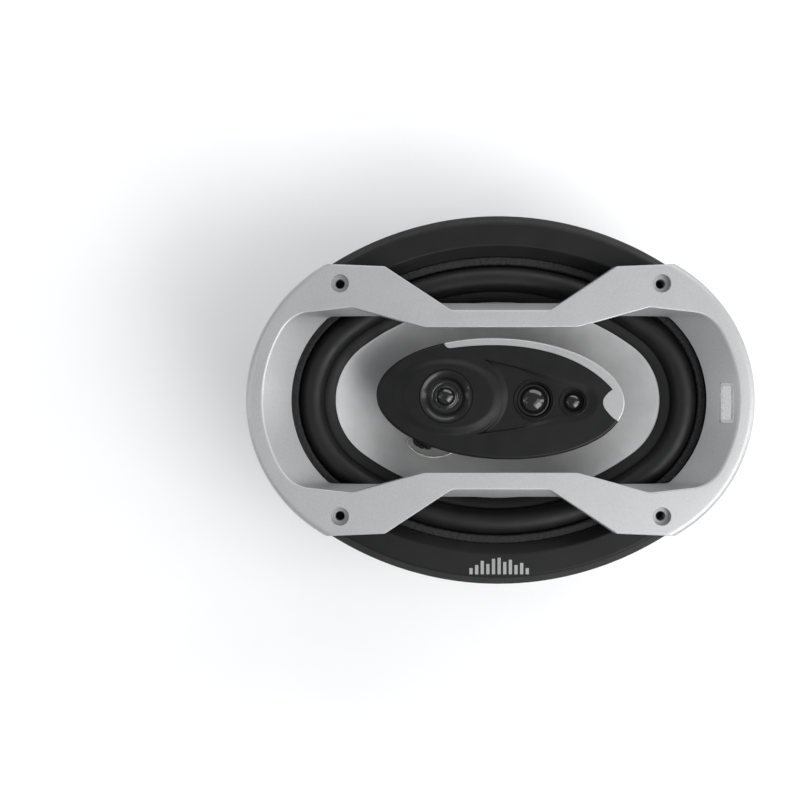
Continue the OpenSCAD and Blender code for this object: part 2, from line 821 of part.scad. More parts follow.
module tinsel_lead_plus() {
    color("silver") mirror([1, 0, 0]) wire(tinsel_points, 1.4, [1, 0, 0]);
}

module tinsel_lead_minus() {
    color("silver") wire(tinsel_points, 1.4, [1, 0, 0]);
}

basket();
trim_ring();
ring_mark();
bezel();
badge_blank();
gasket();
surround();
cone();
cone_glue_patch();
coil_lead();
spider();
coil_former();
voice_coil();
top_plate();
magnet();
yoke();
basket_rivets();
post();
post_washer();
post_nut();
pod_housing();
pod_back();
pod_trim();
tweeter_horn();
tweeter_edge();
tweeter_dome();
tweeter_coil();
tweeter_pole_plate();
tweeter_magnet();
tweeter_cup();
mid_ring();
mid_dome();
mid_piezo_disc();
super_ring();
super_dome();
super_piezo_disc();
terminal_board();
terminal_tab_wide();
terminal_tab_narrow();
terminal_rivets();
crossover_capacitor();
tinsel_lead_plus();
tinsel_lead_minus();
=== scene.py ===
"""Looks of a coaxial oval car speaker, built round its CAD frame.

Lengths are in millimetres, in the CAD frame."""

import json
from math import acos, atan2, cos, pi, radians, sin, tan

import bmesh
import bpy
import numpy as np
from mathutils import Matrix, Vector, noise


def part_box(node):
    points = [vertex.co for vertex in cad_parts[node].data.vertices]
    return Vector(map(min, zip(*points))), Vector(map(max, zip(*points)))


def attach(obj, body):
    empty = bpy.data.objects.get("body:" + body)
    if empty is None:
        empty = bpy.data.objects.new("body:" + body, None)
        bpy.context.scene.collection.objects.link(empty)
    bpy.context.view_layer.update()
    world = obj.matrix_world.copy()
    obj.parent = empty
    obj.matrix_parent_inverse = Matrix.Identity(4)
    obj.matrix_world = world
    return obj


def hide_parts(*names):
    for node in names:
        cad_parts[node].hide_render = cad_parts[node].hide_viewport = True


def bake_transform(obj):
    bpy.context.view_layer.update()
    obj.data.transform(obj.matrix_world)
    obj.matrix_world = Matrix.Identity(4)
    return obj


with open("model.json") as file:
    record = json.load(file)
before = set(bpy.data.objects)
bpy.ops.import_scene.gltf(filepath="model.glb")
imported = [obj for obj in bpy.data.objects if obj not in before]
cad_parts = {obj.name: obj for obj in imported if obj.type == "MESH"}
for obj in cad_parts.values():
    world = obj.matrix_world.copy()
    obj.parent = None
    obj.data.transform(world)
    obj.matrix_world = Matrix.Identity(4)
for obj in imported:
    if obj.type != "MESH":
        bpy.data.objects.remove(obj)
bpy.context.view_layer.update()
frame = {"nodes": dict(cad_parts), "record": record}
scene = bpy.context.scene
MM = 0.001

# ---- Dimensions, from the frame --------------------------------------------


def span(node):
    """Lowest and highest corner of a CAD node, in millimetres."""
    low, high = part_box(node)
    return np.array(low) / MM, np.array(high) / MM


UNIT = 15.6
END_X, SIDE_Y = 3 * UNIT, 4 * UNIT
JOIN = atan2(4, 3)
RING_B = round(span("trim_ring")[1][1], 1)
RING_Z = span("trim_ring")[1][2]
BEZEL_Z = span("bezel")[1][2]
FLOOR_Z = round(span("yoke")[0][2], 3)
RECESS_Z = FLOOR_Z + 5
FLANGE_B = RING_B - 3
SHEET = 1.2
PLATE_Z, WELL_Z = (round(corner[2], 3) for corner in span("top_plate"))
MAGNET_Z = round(span("magnet")[0][2], 3)
PLATE_R, MAGNET_R = (round(span(node)[1][0], 3) for node in ("top_plate", "magnet"))
POLE_R, POST_R = 15, 4
SCREW_HOLE_R = 2.2
SCREWS = [(x, y) for x in (-76, 76) for y in (-55, 55)]

# ---- Meshes ----------------------------------------------------------------


def make(name, verts, faces, sharp=35):
    """A shaded mesh object from points in millimetres, with coincident points joined."""
    mesh = bpy.data.meshes.new(name)
    mesh.from_pydata((np.asarray(verts, float) * MM).tolist(), [], faces)
    bm = bmesh.new()
    bm.from_mesh(mesh)
    bmesh.ops.remove_doubles(bm, verts=bm.verts, dist=1e-6)
    bmesh.ops.recalc_face_normals(bm, faces=bm.faces)
    if bm.calc_volume(signed=True) < 0:
        bmesh.ops.reverse_faces(bm, faces=bm.faces)
    bm.to_mesh(mesh)
    bm.free()
    made = bpy.data.objects.new(name, mesh)
    scene.collection.objects.link(made)
    shade(made, sharp)
    return made


def shade(piece, sharp=35):
    """Smooth shading that keeps edges sharper than that angle."""
    piece.data.shade_smooth()
    piece.data.set_sharp_from_angle(angle=radians(sharp))


def weighted(piece):
    """Keeps large flat faces flat next to rounded edges."""
    modifier = piece.modifiers.new("weighted", "WEIGHTED_NORMAL")
    modifier.keep_sharp = True
    return piece


def band(name, loops, closed=True, sharp=35):
    """Surface through rings of points. closed joins the last ring to the first."""
    loops = np.asarray(loops, float)
    rows, count = loops.shape[:2]
    i, j = np.meshgrid(range(rows if closed else rows - 1), range(count), indexing="ij")
    k, m = (i + 1) % rows, (j + 1) % count
    faces = np.stack([i * count + j, i * count + m, k * count + m, k * count + j], -1).reshape(-1, 4)
    return make(name, loops.reshape(-1, 3), faces.tolist(), sharp)


def solid(name, loops, sharp=35):
    """Closed body through rings of points, with a flat cap on the first and the last."""
    loops = np.asarray(loops, float)
    rows, count = loops.shape[:2]
    i, j = np.meshgrid(range(rows - 1), range(count), indexing="ij")
    m = (j + 1) % count
    faces = np.stack([i * count + j, i * count + m, (i + 1) * count + m, (i + 1) * count + j], -1)
    faces = faces.reshape(-1, 4).tolist()
    faces += [list(range(count))[::-1], [(rows - 1) * count + n for n in range(count)]]
    return make(name, loops.reshape(-1, 3), faces, sharp)


def round_corner(p, q, r, radius, steps):
    """Points of the arc that rounds corner q of the path p-q-r."""
    a, b = p - q, r - q
    la, lb = np.linalg.norm(a), np.linalg.norm(b)
    a, b = a / la, b / lb
    half = acos(np.clip(a @ b, -1, 1)) / 2
    if radius <= 0 or half > pi / 2 - 0.01:
        return [q] * (steps + 1)
    reach = min(radius / tan(half), 0.48 * la, 0.48 * lb)
    radius = reach * tan(half)
    centre = q + (a + b) / np.linalg.norm(a + b) * radius / sin(half)
    return arc_between(centre, q + a * reach, q + b * reach, steps)


def arc_between(centre, start, end, steps):
    """Points of the shorter arc from start to end about centre."""
    v0, v1 = start - centre, end - centre
    turn = acos(np.clip(v0 @ v1 / np.linalg.norm(v0) / np.linalg.norm(v1), -1, 1))
    if turn < 1e-6:
        return [start] * (steps + 1)
    shares = [k / steps for k in range(steps + 1)]
    return [centre + (sin((1 - w) * turn) * v0 + sin(w * turn) * v1) / sin(turn) for w in shares]


def rounded(corners, closed=True, steps=4):
    """Outline through [x, y, radius] corners, each rounded by an arc."""
    points = [np.array(c[:2], float) for c in corners]
    outline = []
    for i, corner in enumerate(corners):
        ends = not closed and i in (0, len(corners) - 1)
        if len(corner) < 3 or ends:
            outline.append(points[i])
        else:
            after = points[(i + 1) % len(points)]
            outline += round_corner(points[i - 1], points[i], after, corner[2], steps)
    return np.array(outline)


def circle(radius, z, n=96, centre=(0, 0)):
    t = np.linspace(0, 2 * pi, n, endpoint=False)
    return np.stack([centre[0] + radius * np.cos(t), centre[1] + radius * np.sin(t), t * 0 + z], 1)


def lathe(name, outline, centre=(0, 0), n=96, closed=True, sharp=35):
    """Turns an outline of [r, z] points round the Z axis through centre."""
    return band(name, [circle(max(r, 0), z, n, centre) for r, z in outline], closed, sharp)


def rod(radius, low, high, centre=(0, 0), n=32):
    """Straight round bar, for a boss or to cut a hole with."""
    return lathe("rod", [(0, low), (radius, low), (radius, high), (0, high)], centre, n)


def frames_along(path):
    """Two unit vectors across a path at each of its points, without twist."""
    ahead = np.gradient(path, axis=0)
    ahead /= np.linalg.norm(ahead, axis=1)[:, None]
    side = np.cross(ahead[0], [0.3, 0.2, 0.9])
    sides = []
    for t in ahead:
        side = side - (side @ t) * t
        side /= np.linalg.norm(side)
        sides.append(side)
    sides = np.array(sides)
    return sides, np.cross(ahead, sides)


def smooth_path(points, per_span=6):
    """Catmull-Rom curve through the points."""
    p = np.asarray(points, float)
    p = np.vstack([2 * p[0] - p[1], p, 2 * p[-1] - p[-2]])
    out = []
    for a, b, c, d in zip(p, p[1:], p[2:], p[3:]):
        for t in np.arange(per_span) / per_span:
            out.append(0.5 * (2 * b + (c - a) * t + (2 * a - 5 * b + 4 * c - d) * t**2
                              + (3 * b - a - 3 * c + d) * t**3))
    return np.array(out + [p[-2]])


def tube_points(path, radius, n):
    """Rings of n points round a path."""
    side, up = frames_along(path)
    t = np.linspace(0, 2 * pi, n, endpoint=False)[None, :, None]
    return path[:, None] + radius * (np.cos(t) * side[:, None] + np.sin(t) * up[:, None])


def tube(name, path, radius, n=12):
    return solid(name, tube_points(np.asarray(path, float), radius, n), 50)


def braid(name, points, diameter, strands=3, pitch=3.2):
    """Twisted wire along a route: round strands wound about each other."""
    path = smooth_path(points, 10)
    side, up = frames_along(path)
    run = np.concatenate([[0], np.cumsum(np.linalg.norm(np.diff(path, axis=0), axis=1))])
    strand_r = diameter * 0.26
    parts = []
    for k in range(strands):
        turn = 2 * pi * (run / pitch + k / strands)
        aside = np.cos(turn)[:, None] * side + np.sin(turn)[:, None] * up
        centre = path + (diameter / 2 - strand_r) * aside
        parts.append(tube(f"{name}_{k}", centre, strand_r, 8))
    return join(name, parts)


def join(name, parts):
    """One object from several, with their meshes side by side."""
    bm = bmesh.new()
    for part in parts:
        bm.from_mesh(part.data)
        bpy.data.objects.remove(part)
    mesh = bpy.data.meshes.new(name)
    bm.to_mesh(mesh)
    bm.free()
    made = bpy.data.objects.new(name, mesh)
    scene.collection.objects.link(made)
    shade(made, 50)
    return made


def carve(piece, tools, operation="DIFFERENCE", sharp=35):
    """Cuts the tools out of a piece, or fuses them to it, and removes them."""
    for tool in tools:
        modifier = piece.modifiers.new("carve", "BOOLEAN")
        modifier.operation, modifier.object, modifier.solver = operation, tool, "MANIFOLD"
    depsgraph = bpy.context.evaluated_depsgraph_get()
    mesh = bpy.data.meshes.new_from_object(piece.evaluated_get(depsgraph))
    piece.modifiers.clear()
    piece.data = mesh
    for tool in tools:
        bpy.data.objects.remove(tool)
    shade(piece, sharp)
    return piece


def plate(name, outline, low, high, edge=0.4, steps=3):
    """Flat piece with the given counter-clockwise outline.

    Its walls and faces lie edge inside the outline, low and high, and a ridge of that size rims each face."""
    outline = np.asarray(outline, float)
    out = outward(outline)
    turn = np.linspace(0, pi / 2, steps + 1)
    rise = [(edge * (1 - cos(a)), edge * (1 - sin(a))) for a in turn][::-1]
    rows = [(outline - out * d, low + u) for u, d in rise]
    rows += [(outline - out * d, high - u) for u, d in rise[::-1]]
    return solid(name, [np.column_stack([p, np.full(len(p), z)]) for p, z in rows])


def outward(loop):
    """Unit normals of a counter-clockwise closed outline."""
    ahead = np.roll(loop, -1, 0) - np.roll(loop, 1, 0)
    normal = np.column_stack([ahead[:, 1], -ahead[:, 0]])
    return normal / np.maximum(np.linalg.norm(normal, axis=1), 1e-9)[:, None]


def roughen(piece, size, height, seed=0.0):
    """Moves a mesh's points along their normals by smooth noise."""
    offset = Vector((seed, 2 * seed, 3 * seed))
    moves = [v.normal * noise.noise(v.co / (size * MM) + offset) * height * MM for v in piece.data.vertices]
    for vertex, move in zip(piece.data.vertices, moves):
        vertex.co += move
    return piece


def place(piece, matrix):
    """Moves a piece's mesh by a matrix in millimetres."""
    scaled = matrix.copy()
    scaled.translation = matrix.translation * MM
    piece.data.transform(scaled)
    return piece


# ---- The oval family -------------------------------------------------------


def oval_angles(per_end=72, per_side=84):
    """Normal angles round an oval, evenly spaced on each of its four arcs."""
    end = np.linspace(-JOIN, JOIN, per_end, endpoint=False)
    side = np.linspace(JOIN, pi - JOIN, per_side, endpoint=False)
    return np.concatenate([end, side, end + pi, side + pi])


def oval(b, t):
    """Points of the oval of half height b whose normals point along the angles t."""
    c, s = np.cos(t), np.sin(t)
    on_end = np.abs(c) > cos(JOIN) - 1e-9
    x = np.where(on_end, np.sign(c) * END_X + (b - UNIT) * c, (b + SIDE_Y) * c)
    y = np.where(on_end, (b - UNIT) * s, (b + SIDE_Y) * s - np.sign(s) * SIDE_Y)
    return np.column_stack([x, y])


def level(points, z):
    return np.column_stack([points, np.zeros(len(points)) + z])


def oval_band(name, outline, closed=True, sharp=35, angles=None):
    """Sweeps an outline of [b, z] points round the oval."""
    t = oval_angles() if angles is None else angles
    return band(name, [level(oval(b, t), z) for b, z in outline], closed, sharp)


# ---- Materials -------------------------------------------------------------


class Nodes:
    """Short names for building a material's nodes."""

    def __init__(self, name):
        self.material = bpy.data.materials.new(name)
        self.material.use_nodes = True
        self.tree = self.material.node_tree
        self.shader = self.tree.nodes["Principled BSDF"]
        self.place = self.new("ShaderNodeTexCoord").outputs["Object"]

    def new(self, kind, **values):
        node = self.tree.nodes.new(kind)
        for key, value in values.items():
            setattr(node, key, value)
        return node

    def link(self, a, b):
        self.tree.links.new(a, b)

    def set(self, **values):
        for key, value in values.items():
            self.shader.inputs[key.replace("_", " ")].default_value = value

    def noise(self, size, detail=3.0, stretch=(1, 1, 1), roughness=0.5):
        """Noise whose features are about that many millimetres across."""
        mapping = self.new("ShaderNodeMapping")
        mapping.inputs["Scale"].default_value = stretch
        self.link(self.place, mapping.inputs["Vector"])
        node = self.new("ShaderNodeTexNoise")
        node.inputs["Scale"].default_value = 1 / (size * MM)
        node.inputs["Detail"].default_value = detail
        node.inputs["Roughness"].default_value = roughness
        self.link(mapping.outputs["Vector"], node.inputs["Vector"])
        return node.outputs["Fac"]

    def cells(self, size):
        """A random value for each cell of about that many millimetres."""
        node = self.new("ShaderNodeTexVoronoi")
        node.inputs["Scale"].default_value = 1 / (size * MM)
        self.link(self.place, node.inputs["Vector"])
        split = self.new("ShaderNodeSeparateColor")
        self.link(node.outputs["Color"], split.inputs["Color"])
        return split.outputs["Red"]

    def span(self, value, low, high, source=(0.3, 0.7)):
        node = self.new("ShaderNodeMapRange")
        for key, number in zip(("From Min", "From Max", "To Min", "To Max"), (*source, low, high)):
            node.inputs[key].default_value = number
        self.link(value, node.inputs["Value"])
        return node.outputs["Result"]

    def colour(self, value, low, high, source=(0.3, 0.7)):
        """Base colour that runs from low to high with value."""
        mix = self.new("ShaderNodeMix", data_type="RGBA")
        mix.inputs["A"].default_value = (*low, 1)
        mix.inputs["B"].default_value = (*high, 1)
        self.link(self.span(value, 0, 1, source), mix.inputs["Factor"])
        return mix.outputs["Result"]

    def base(self, colour):
        self.link(colour, self.shader.inputs["Base Color"])

    def rough(self, value):
        self.link(value, self.shader.inputs["Roughness"])

    def bump(self, value, height, under=None):
        """Adds relief of that many millimetres on top of an earlier bump."""
        node = self.new("ShaderNodeBump")
        node.inputs["Distance"].default_value = height * MM
        node.inputs["Strength"].default_value = 1.0
        self.link(value, node.inputs["Height"])
        if under is not None:
            self.link(under, node.inputs["Normal"])
        self.link(node.outputs["Normal"], self.shader.inputs["Normal"])
        return node.outputs["Normal"]


    def surface(self, mottle, low, high, gloss, roughness, grain, height):
        """Uneven colour, gloss and relief. mottle, gloss and grain hold the arguments of noise."""
        self.base(self.colour(self.noise(*mottle), low, high))
        self.rough(self.span(self.noise(*gloss), *roughness))
        self.bump(self.noise(*grain), height)


def grey(v, tint=(0, 0, 0)):
    return tuple(v + t for t in tint)


def shades(colour, *factors):
    """The colour made darker or lighter by each factor."""
    return [[min(1, c * factor) for c in colour] for factor in factors]


def plain(name, *surface, **values):
    """Material with the same finish all over."""
    n = Nodes(name)
    n.surface(*surface)
    n.set(**values)
    return n.material


def plastic(name, shade_of, roughness, grain, grain_height, coat=0.0, spread=0.12):
    """Moulded plastic: even colour with faint handling marks and a fine grain."""
    return plain(name, (14, 4), *shades(shade_of, 1 - spread, 1 + spread), (9, 5),
                 (roughness - 0.05, roughness + 0.06), (grain, 2), grain_height,
                 Coat_Weight=coat, Coat_Roughness=0.08, Specular_IOR_Level=0.22)


def silver_paint(name, shade_of, roughness, metallic, flake=0.28):
    """Metallic paint: fine flakes over a slightly uneven coat, with a little orange peel."""
    n = Nodes(name)
    flakes = n.cells(flake)
    n.base(n.colour(flakes, *shades(shade_of, 0.88, 1.1), (0, 1)))
    n.rough(n.span(n.noise(18, 3), roughness - 0.03, roughness + 0.04))
    peel = n.bump(n.noise(1.6, 1), 0.006)
    n.bump(flakes, 0.006, peel)
    n.set(Metallic=metallic, Coat_Weight=0.1, Coat_Roughness=0.25)
    return n.material


def metal(name, shade_of, roughness, wear=0.06, stretch=(1, 1, 1), grain=0.5):
    """Bare or plated metal, with fine marks along one direction."""
    return plain(name, (6, 4), *shades(shade_of, 0.85, 1.08), (grain, 4, stretch),
                 (roughness - wear, roughness + wear), (grain, 3, stretch), 0.008, Metallic=1.0)


def rubber(name, shade_of, roughness, grain=0.5, height=0.012):
    return plain(name, (11, 5), *shades(shade_of, 0.8, 1.25), (7, 4),
                 (roughness - 0.06, roughness + 0.06), (grain, 3), height, Specular_IOR_Level=0.3)


def paper_cone(name):
    """Pressed pulp under a grey metallic coat: short fibres and soft mottling."""
    n = Nodes(name)
    fibres = n.noise(0.7, 6, (1, 1, 2.5), 0.7)
    n.base(n.colour(n.noise(9, 3), grey(0.47), grey(0.52, (0, 0, 0.004))))
    n.rough(n.span(fibres, 0.42, 0.6))
    soft = n.bump(n.noise(3.5, 2), 0.008)
    n.bump(fibres, 0.035, soft)
    n.set(Metallic=0.25)
    return n.material


def gasket_foam(name):
    """Open, coarse foam: lighter crumbs, and pits between them darkened as painted shade."""
    n = Nodes(name)
    crumbs_and_pit_shade = n.noise(1.1, 5, roughness=0.75)
    # Colour follows the relief: the dark of the pits is painted shade, and the crumbs keep the foam's own
    # dark grey.
    n.base(n.colour(crumbs_and_pit_shade, grey(0.003), grey(0.022), (0.38, 0.66)))
    n.rough(n.span(crumbs_and_pit_shade, 0.75, 0.95))
    n.bump(crumbs_and_pit_shade, 0.35)
    return n.material


def spider_cloth(name):
    """Woven cotton stiffened with resin: two crossed sets of threads, with painted shade in the gaps between
    them.
    """
    n = Nodes(name)
    waves = []
    for axis in ("X", "Y"):
        wave = n.new("ShaderNodeTexWave", bands_direction=axis)
        wave.inputs["Scale"].default_value = 420
        wave.inputs["Distortion"].default_value = 0.6
        n.link(n.place, wave.inputs["Vector"])
        waves.append(wave.outputs["Fac"])
    weave_and_gap_shade = n.new("ShaderNodeMath", operation="MAXIMUM")
    n.link(waves[0], weave_and_gap_shade.inputs[0])
    n.link(waves[1], weave_and_gap_shade.inputs[1])
    # The tan of the threads is the cloth's own colour; the darker brown where the weave is low, in the gaps,
    # is painted shade.
    n.base(n.colour(weave_and_gap_shade.outputs["Value"], (0.32, 0.19, 0.06), (0.62, 0.43, 0.18), (0.2, 1.0)))
    n.rough(n.span(n.noise(3, 3), 0.65, 0.85))
    n.bump(weave_and_gap_shade.outputs["Value"], 0.12)
    n.set(Sheen_Weight=0.2)
    return n.material


def ferrite(name):
    """Sintered and ground: dark grey with pores and a faint sheen."""
    even = (1, 1, 1)
    return plain(name, (4, 8, even, 0.65), grey(0.022, (0, 0, 0.002)), grey(0.06, (0, 0, 0.004)),
                 (1.5, 4), (0.42, 0.68), (0.8, 6, even, 0.7), 0.05, Metallic=0.35)


def speckled_foil(name):
    n = Nodes(name)
    flakes = n.cells(0.55)
    n.base(n.colour(flakes, grey(0.62), grey(0.8), (0.1, 0.9)))
    n.rough(n.span(flakes, 0.35, 0.55, (0, 1)))
    n.bump(flakes, 0.015)
    n.set(Metallic=0.55)
    return n.material


def phenolic_board(name):
    return plain(name, (1.5, 6, (4, 1, 1)), (0.13, 0.05, 0.018), (0.3, 0.14, 0.055),
                 (5, 3), (0.4, 0.6), (0.6, 4, (5, 1, 1)), 0.02)


def capacitor_sleeve(name):
    return plain(name, (8, 3), (0.008, 0.02, 0.09), (0.018, 0.045, 0.16),
                 (3, 4), (0.22, 0.38), (1.2, 2), 0.03, Coat_Weight=0.4)


SLOTS = {
    "basket_paint": (plastic, (0.03, 0.03, 0.033), 0.42, 0.9, 0.03, 0, 0.2),
    "black_abs": (plastic, grey(0.008), 0.5, 0.35, 0.018),
    "grey_ink": (plastic, grey(0.3), 0.5, 0.3, 0.01),
    "silver_paint": (silver_paint, (0.43, 0.43, 0.435), 0.44, 0.5, 0.2),
    "bright_silver": (silver_paint, (0.40, 0.40, 0.40), 0.36, 0.5, 0.16),
    "badge_foil": (speckled_foil,),
    "gasket_foam": (gasket_foam,),
    "butyl_rubber": (rubber, grey(0.006), 0.5),
    "cone_pulp": (paper_cone,),
    "black_glue": (rubber, grey(0.006), 0.35, 1.1, 0.3),
    "tinned_braid": (metal, (0.72, 0.7, 0.66), 0.3, 0.1),
    "spider_cloth": (spider_cloth,),
    "kapton": (plastic, (0.42, 0.17, 0.02), 0.3, 2, 0.01, 0.5),
    "copper_wire": (metal, (0.62, 0.24, 0.09), 0.32, 0.06, (0.02, 0.02, 4), 0.3),
    "zinc_steel": (metal, (0.62, 0.56, 0.38), 0.33, 0.08),
    "ferrite": (ferrite,),
    "fastener_steel": (metal, (0.58, 0.58, 0.57), 0.3, 0.08),
    "brass_plate": (metal, (0.72, 0.55, 0.24), 0.3, 0.07),
    "pod_abs": (plastic, grey(0.006), 0.42, 0.3, 0.012),
    "gloss_black": (plastic, grey(0.008), 0.3, 3, 0.004, 0.2),
    "dome_film": (plastic, grey(0.008), 0.14, 2, 0.003, 0.7),
    "neodymium": (metal, (0.55, 0.55, 0.54), 0.2),
    "fibre_board": (phenolic_board,),
    "capacitor_sleeve": (capacitor_sleeve,),
}
MATERIALS = {slot: maker(slot, *values) for slot, (maker, *values) in SLOTS.items()}


def finish_piece(piece, slot, node, body="chassis", flat=True):
    """Gives a piece its material and its body, and hides the CAD node that it stands for."""
    piece.data.materials.clear()
    piece.data.materials.append(MATERIALS[slot])
    if body:
        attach(piece, body)
    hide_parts(node)
    return weighted(piece) if flat else piece


def dress_cad_nodes():
    """The CAD nodes that stay visible take the record's slots."""
    for part in frame["record"]["subparts"]:
        node = frame["nodes"][part["node"]]
        node.data.materials.clear()
        node.data.materials.append(MATERIALS[part["material_slot"]])


# ---- Bezel -----------------------------------------------------------------

SEGMENTS = (20, 40, 10, 6, 14, 6, 8)
SHARED_REACH = radians(24)


def end_corner(end_r, p, q, radius, steps):
    """Arc that joins the end circle to the edge from p to q, which runs inwards from the right."""
    centre_of_end = np.array([END_X, 0.0])
    ahead = (q - p) / np.linalg.norm(q - p)
    out = np.array([ahead[1], -ahead[0]])
    start = p - out * radius - centre_of_end
    along, gap = start @ ahead, start @ start - (end_r - radius) ** 2
    centre = p - out * radius + ahead * (-along - np.sqrt(along**2 - gap))
    arm = centre - centre_of_end
    start = centre_of_end + arm / np.linalg.norm(arm) * end_r
    return arc_between(centre, start, centre + out * radius, steps)


def spread(path, count, weight=18):
    """Resamples a path, closer together where it turns."""
    step = np.diff(path, axis=0)
    length = np.linalg.norm(step, axis=1)
    heading = np.unwrap(np.arctan2(step[:, 1], step[:, 0]))
    turn = np.concatenate([[0], np.abs(np.diff(heading))])
    run = np.concatenate([[0], np.cumsum(length + weight * turn)])
    at = np.linspace(0, run[-1], count + 1)
    return np.column_stack([np.interp(at, run, path[:, k]) for k in (0, 1)])


def frame_loop(end_r, far, knee, waist, bar_y, corner_r, knee_r, waist_r):
    """Closed outline of the bezel: end arcs, corners, edges, diagonals and crossbars.

    far and knee give the edge's line, waist is where the diagonal meets the crossbar."""
    far, knee, waist = (np.array(v, float) for v in (far, knee, waist))
    middle = np.array([0.0, bar_y])
    n_end, n_corner, n_edge, n_knee, n_diagonal, n_waist, n_bar = SEGMENTS
    corner = end_corner(end_r, far, knee, corner_r, 24)
    reach = atan2(corner[0][1], corner[0][0] - END_X)

    def end_arc(turn):
        return np.column_stack([END_X + end_r * np.cos(turn), end_r * np.sin(turn)])

    end = end_arc(np.linspace(0, SHARED_REACH, n_end, endpoint=False))
    corner = spread(np.vstack([end_arc(np.linspace(SHARED_REACH, reach, 40))[:-1], corner]), n_corner)
    knee_arc = round_corner(corner[-1], knee, waist, knee_r, n_knee)
    waist_arc = round_corner(knee, waist, middle, waist_r, n_waist)
    quarter = [end, corner[:-1], np.linspace(corner[-1], knee_arc[0], n_edge, endpoint=False),
               knee_arc[:-1], np.linspace(knee_arc[-1], waist_arc[0], n_diagonal, endpoint=False),
               waist_arc[:-1], np.linspace(waist_arc[-1], middle, n_bar + 1)]
    return all_quarters(np.vstack(quarter))


def all_quarters(q):
    return np.vstack([q, (q * [-1, 1])[::-1][1:], -q[1:], (q * [1, -1])[::-1][1:-1]])


def along_loop(values, soften=5):
    """One value for each point of a frame loop, from one value per segment of its quarter."""
    quarter = np.concatenate([np.full(n, v, float) for n, v in zip(SEGMENTS, values)] + [[values[-1]]])
    whole = np.concatenate([quarter, quarter[::-1][1:], quarter[1:], quarter[::-1][1:-1]])
    return sum(np.roll(whole, k) for k in range(-soften, soften + 1)) / (2 * soften + 1)


def fillet(face, corner, wall, steps=5):
    """Curve from a face to a wall past their common corner, one for each point of a loop."""
    shares = np.linspace(0, 1, steps + 1)
    return [(1 - w) ** 2 * face + 2 * w * (1 - w) * corner + w * w * wall for w in shares]


BEZEL_FRONT = dict(end_r=RING_B - 15.7, far=(130, 66.2), knee=(54.8, 63.1), waist=(22.9, 42.2),
                   bar_y=42.2, corner_r=2, knee_r=2, waist_r=5)
BEZEL_FACE = dict(end_r=RING_B - 18.6, far=(130, 65.3), knee=(54.6, 62.3), waist=(22.7, 41.4),
                  bar_y=41.4, corner_r=2.4, knee_r=2, waist_r=5)
BEZEL_FOOT = dict(end_r=RING_B - 13.5, far=(130, 66.7), knee=(54.6, 63.6), waist=(28.4, 46.0),
                  bar_y=46.0, corner_r=2.4, knee_r=2, waist_r=5)
MOUTH_TOP = dict(end_r=RING_B - 23.2, far=(130, 36.7), knee=(70.5, 43.8), waist=(36.2, 34.2),
                 bar_y=34.2, corner_r=17, knee_r=8, waist_r=5)
MOUTH_FOOT = dict(end_r=RING_B - 36, far=(130, 39.6), knee=(57.6, 40.2), waist=(36.0, 34.5),
                  bar_y=34.5, corner_r=4, knee_r=6, waist_r=5)


def bezel():
    """Silver frame: two trays with sloped inner walls, joined by two channel crossbars."""
    wall = 2.2
    front, face_edge, foot = (frame_loop(**v) for v in (BEZEL_FRONT, BEZEL_FACE, BEZEL_FOOT))
    mouth, mouth_foot = frame_loop(**MOUTH_TOP), frame_loop(**MOUTH_FOOT)
    inner_out = outward(mouth)
    foot_z = along_loop((1.2, 1.2, RING_Z, RING_Z, 9.4, 11.5, 12), 2)
    wall_z = along_loop((1.3, 1.3, RING_Z, RING_Z, 10, 13.5, 14), 2)
    mouth_z = along_loop((7, 7, 10.5, 10.5, 11, 12, 12), 3)
    edge = along_loop((2.9, 2.6, 0.9, 0.8, 0.8, 0.8, 0.8), 3)[:, None]
    brow = 0.8
    corner = level(front, BEZEL_Z)
    drop = level(foot, wall_z) - corner
    drop /= np.linalg.norm(drop, axis=1)[:, None]
    face = level(face_edge, BEZEL_Z)
    mouth_corner = level(mouth, BEZEL_Z)
    slope = level(mouth_foot, mouth_z) - mouth_corner
    slope /= np.linalg.norm(slope, axis=1)[:, None]
    mouth_face = level(mouth + inner_out * brow, BEZEL_Z)
    outer = fillet(face, corner, corner + drop * edge)
    inner = fillet(mouth_face, mouth_corner, mouth_corner + slope * brow, 3)
    hidden_foot = mouth_foot + outward(mouth_foot) * wall
    rows = [level(foot, foot_z), level(foot, wall_z), *outer[::-1], *inner, level(mouth_foot, mouth_z),
            level(hidden_foot, mouth_z), level(mouth + inner_out * 2.8, BEZEL_Z - wall),
            level(face_edge, BEZEL_Z - wall), level(foot - outward(foot) * 1.8, foot_z)]
    shell = band("bezel_shell", rows)
    bosses = [rod(5.6, RING_Z, BEZEL_Z - 1, at, 48) for at in SCREWS]
    low, rim = BEZEL_Z - 4, BEZEL_Z - 0.2
    bore = [(0, 5), (SCREW_HOLE_R, 5), (SCREW_HOLE_R, low - 0.3), (2.5, low), (4.2, low), (4.2, rim),
            (4.9, rim + 0.7), (0, rim + 0.7)]
    bores = [lathe("bore", bore, at, 64) for at in SCREWS]
    carve(shell, bosses, "UNION")
    pocket = place(plate("pocket", rounded_box(8, 19.5, 1.1), -1.0, 4, 0.05), badge_frame())
    carve(shell, [*bores, pocket])
    return finish_piece(shell, "silver_paint", "bezel")


def rounded_box(width, height, radius, steps=5):
    x, y = width / 2, height / 2
    return rounded([(x, -y, radius), (x, y, radius), (-x, y, radius), (-x, -y, radius)], True, steps)


TRAY_TILT = atan2(12.8, 13)


def badge_frame():
    """Frame of the badge pocket, with +Z out of the right tray's slope."""
    return Matrix.Translation((107.6, -1.3, 14.85)) @ Matrix.Rotation(-TRAY_TILT, 4, "Y")


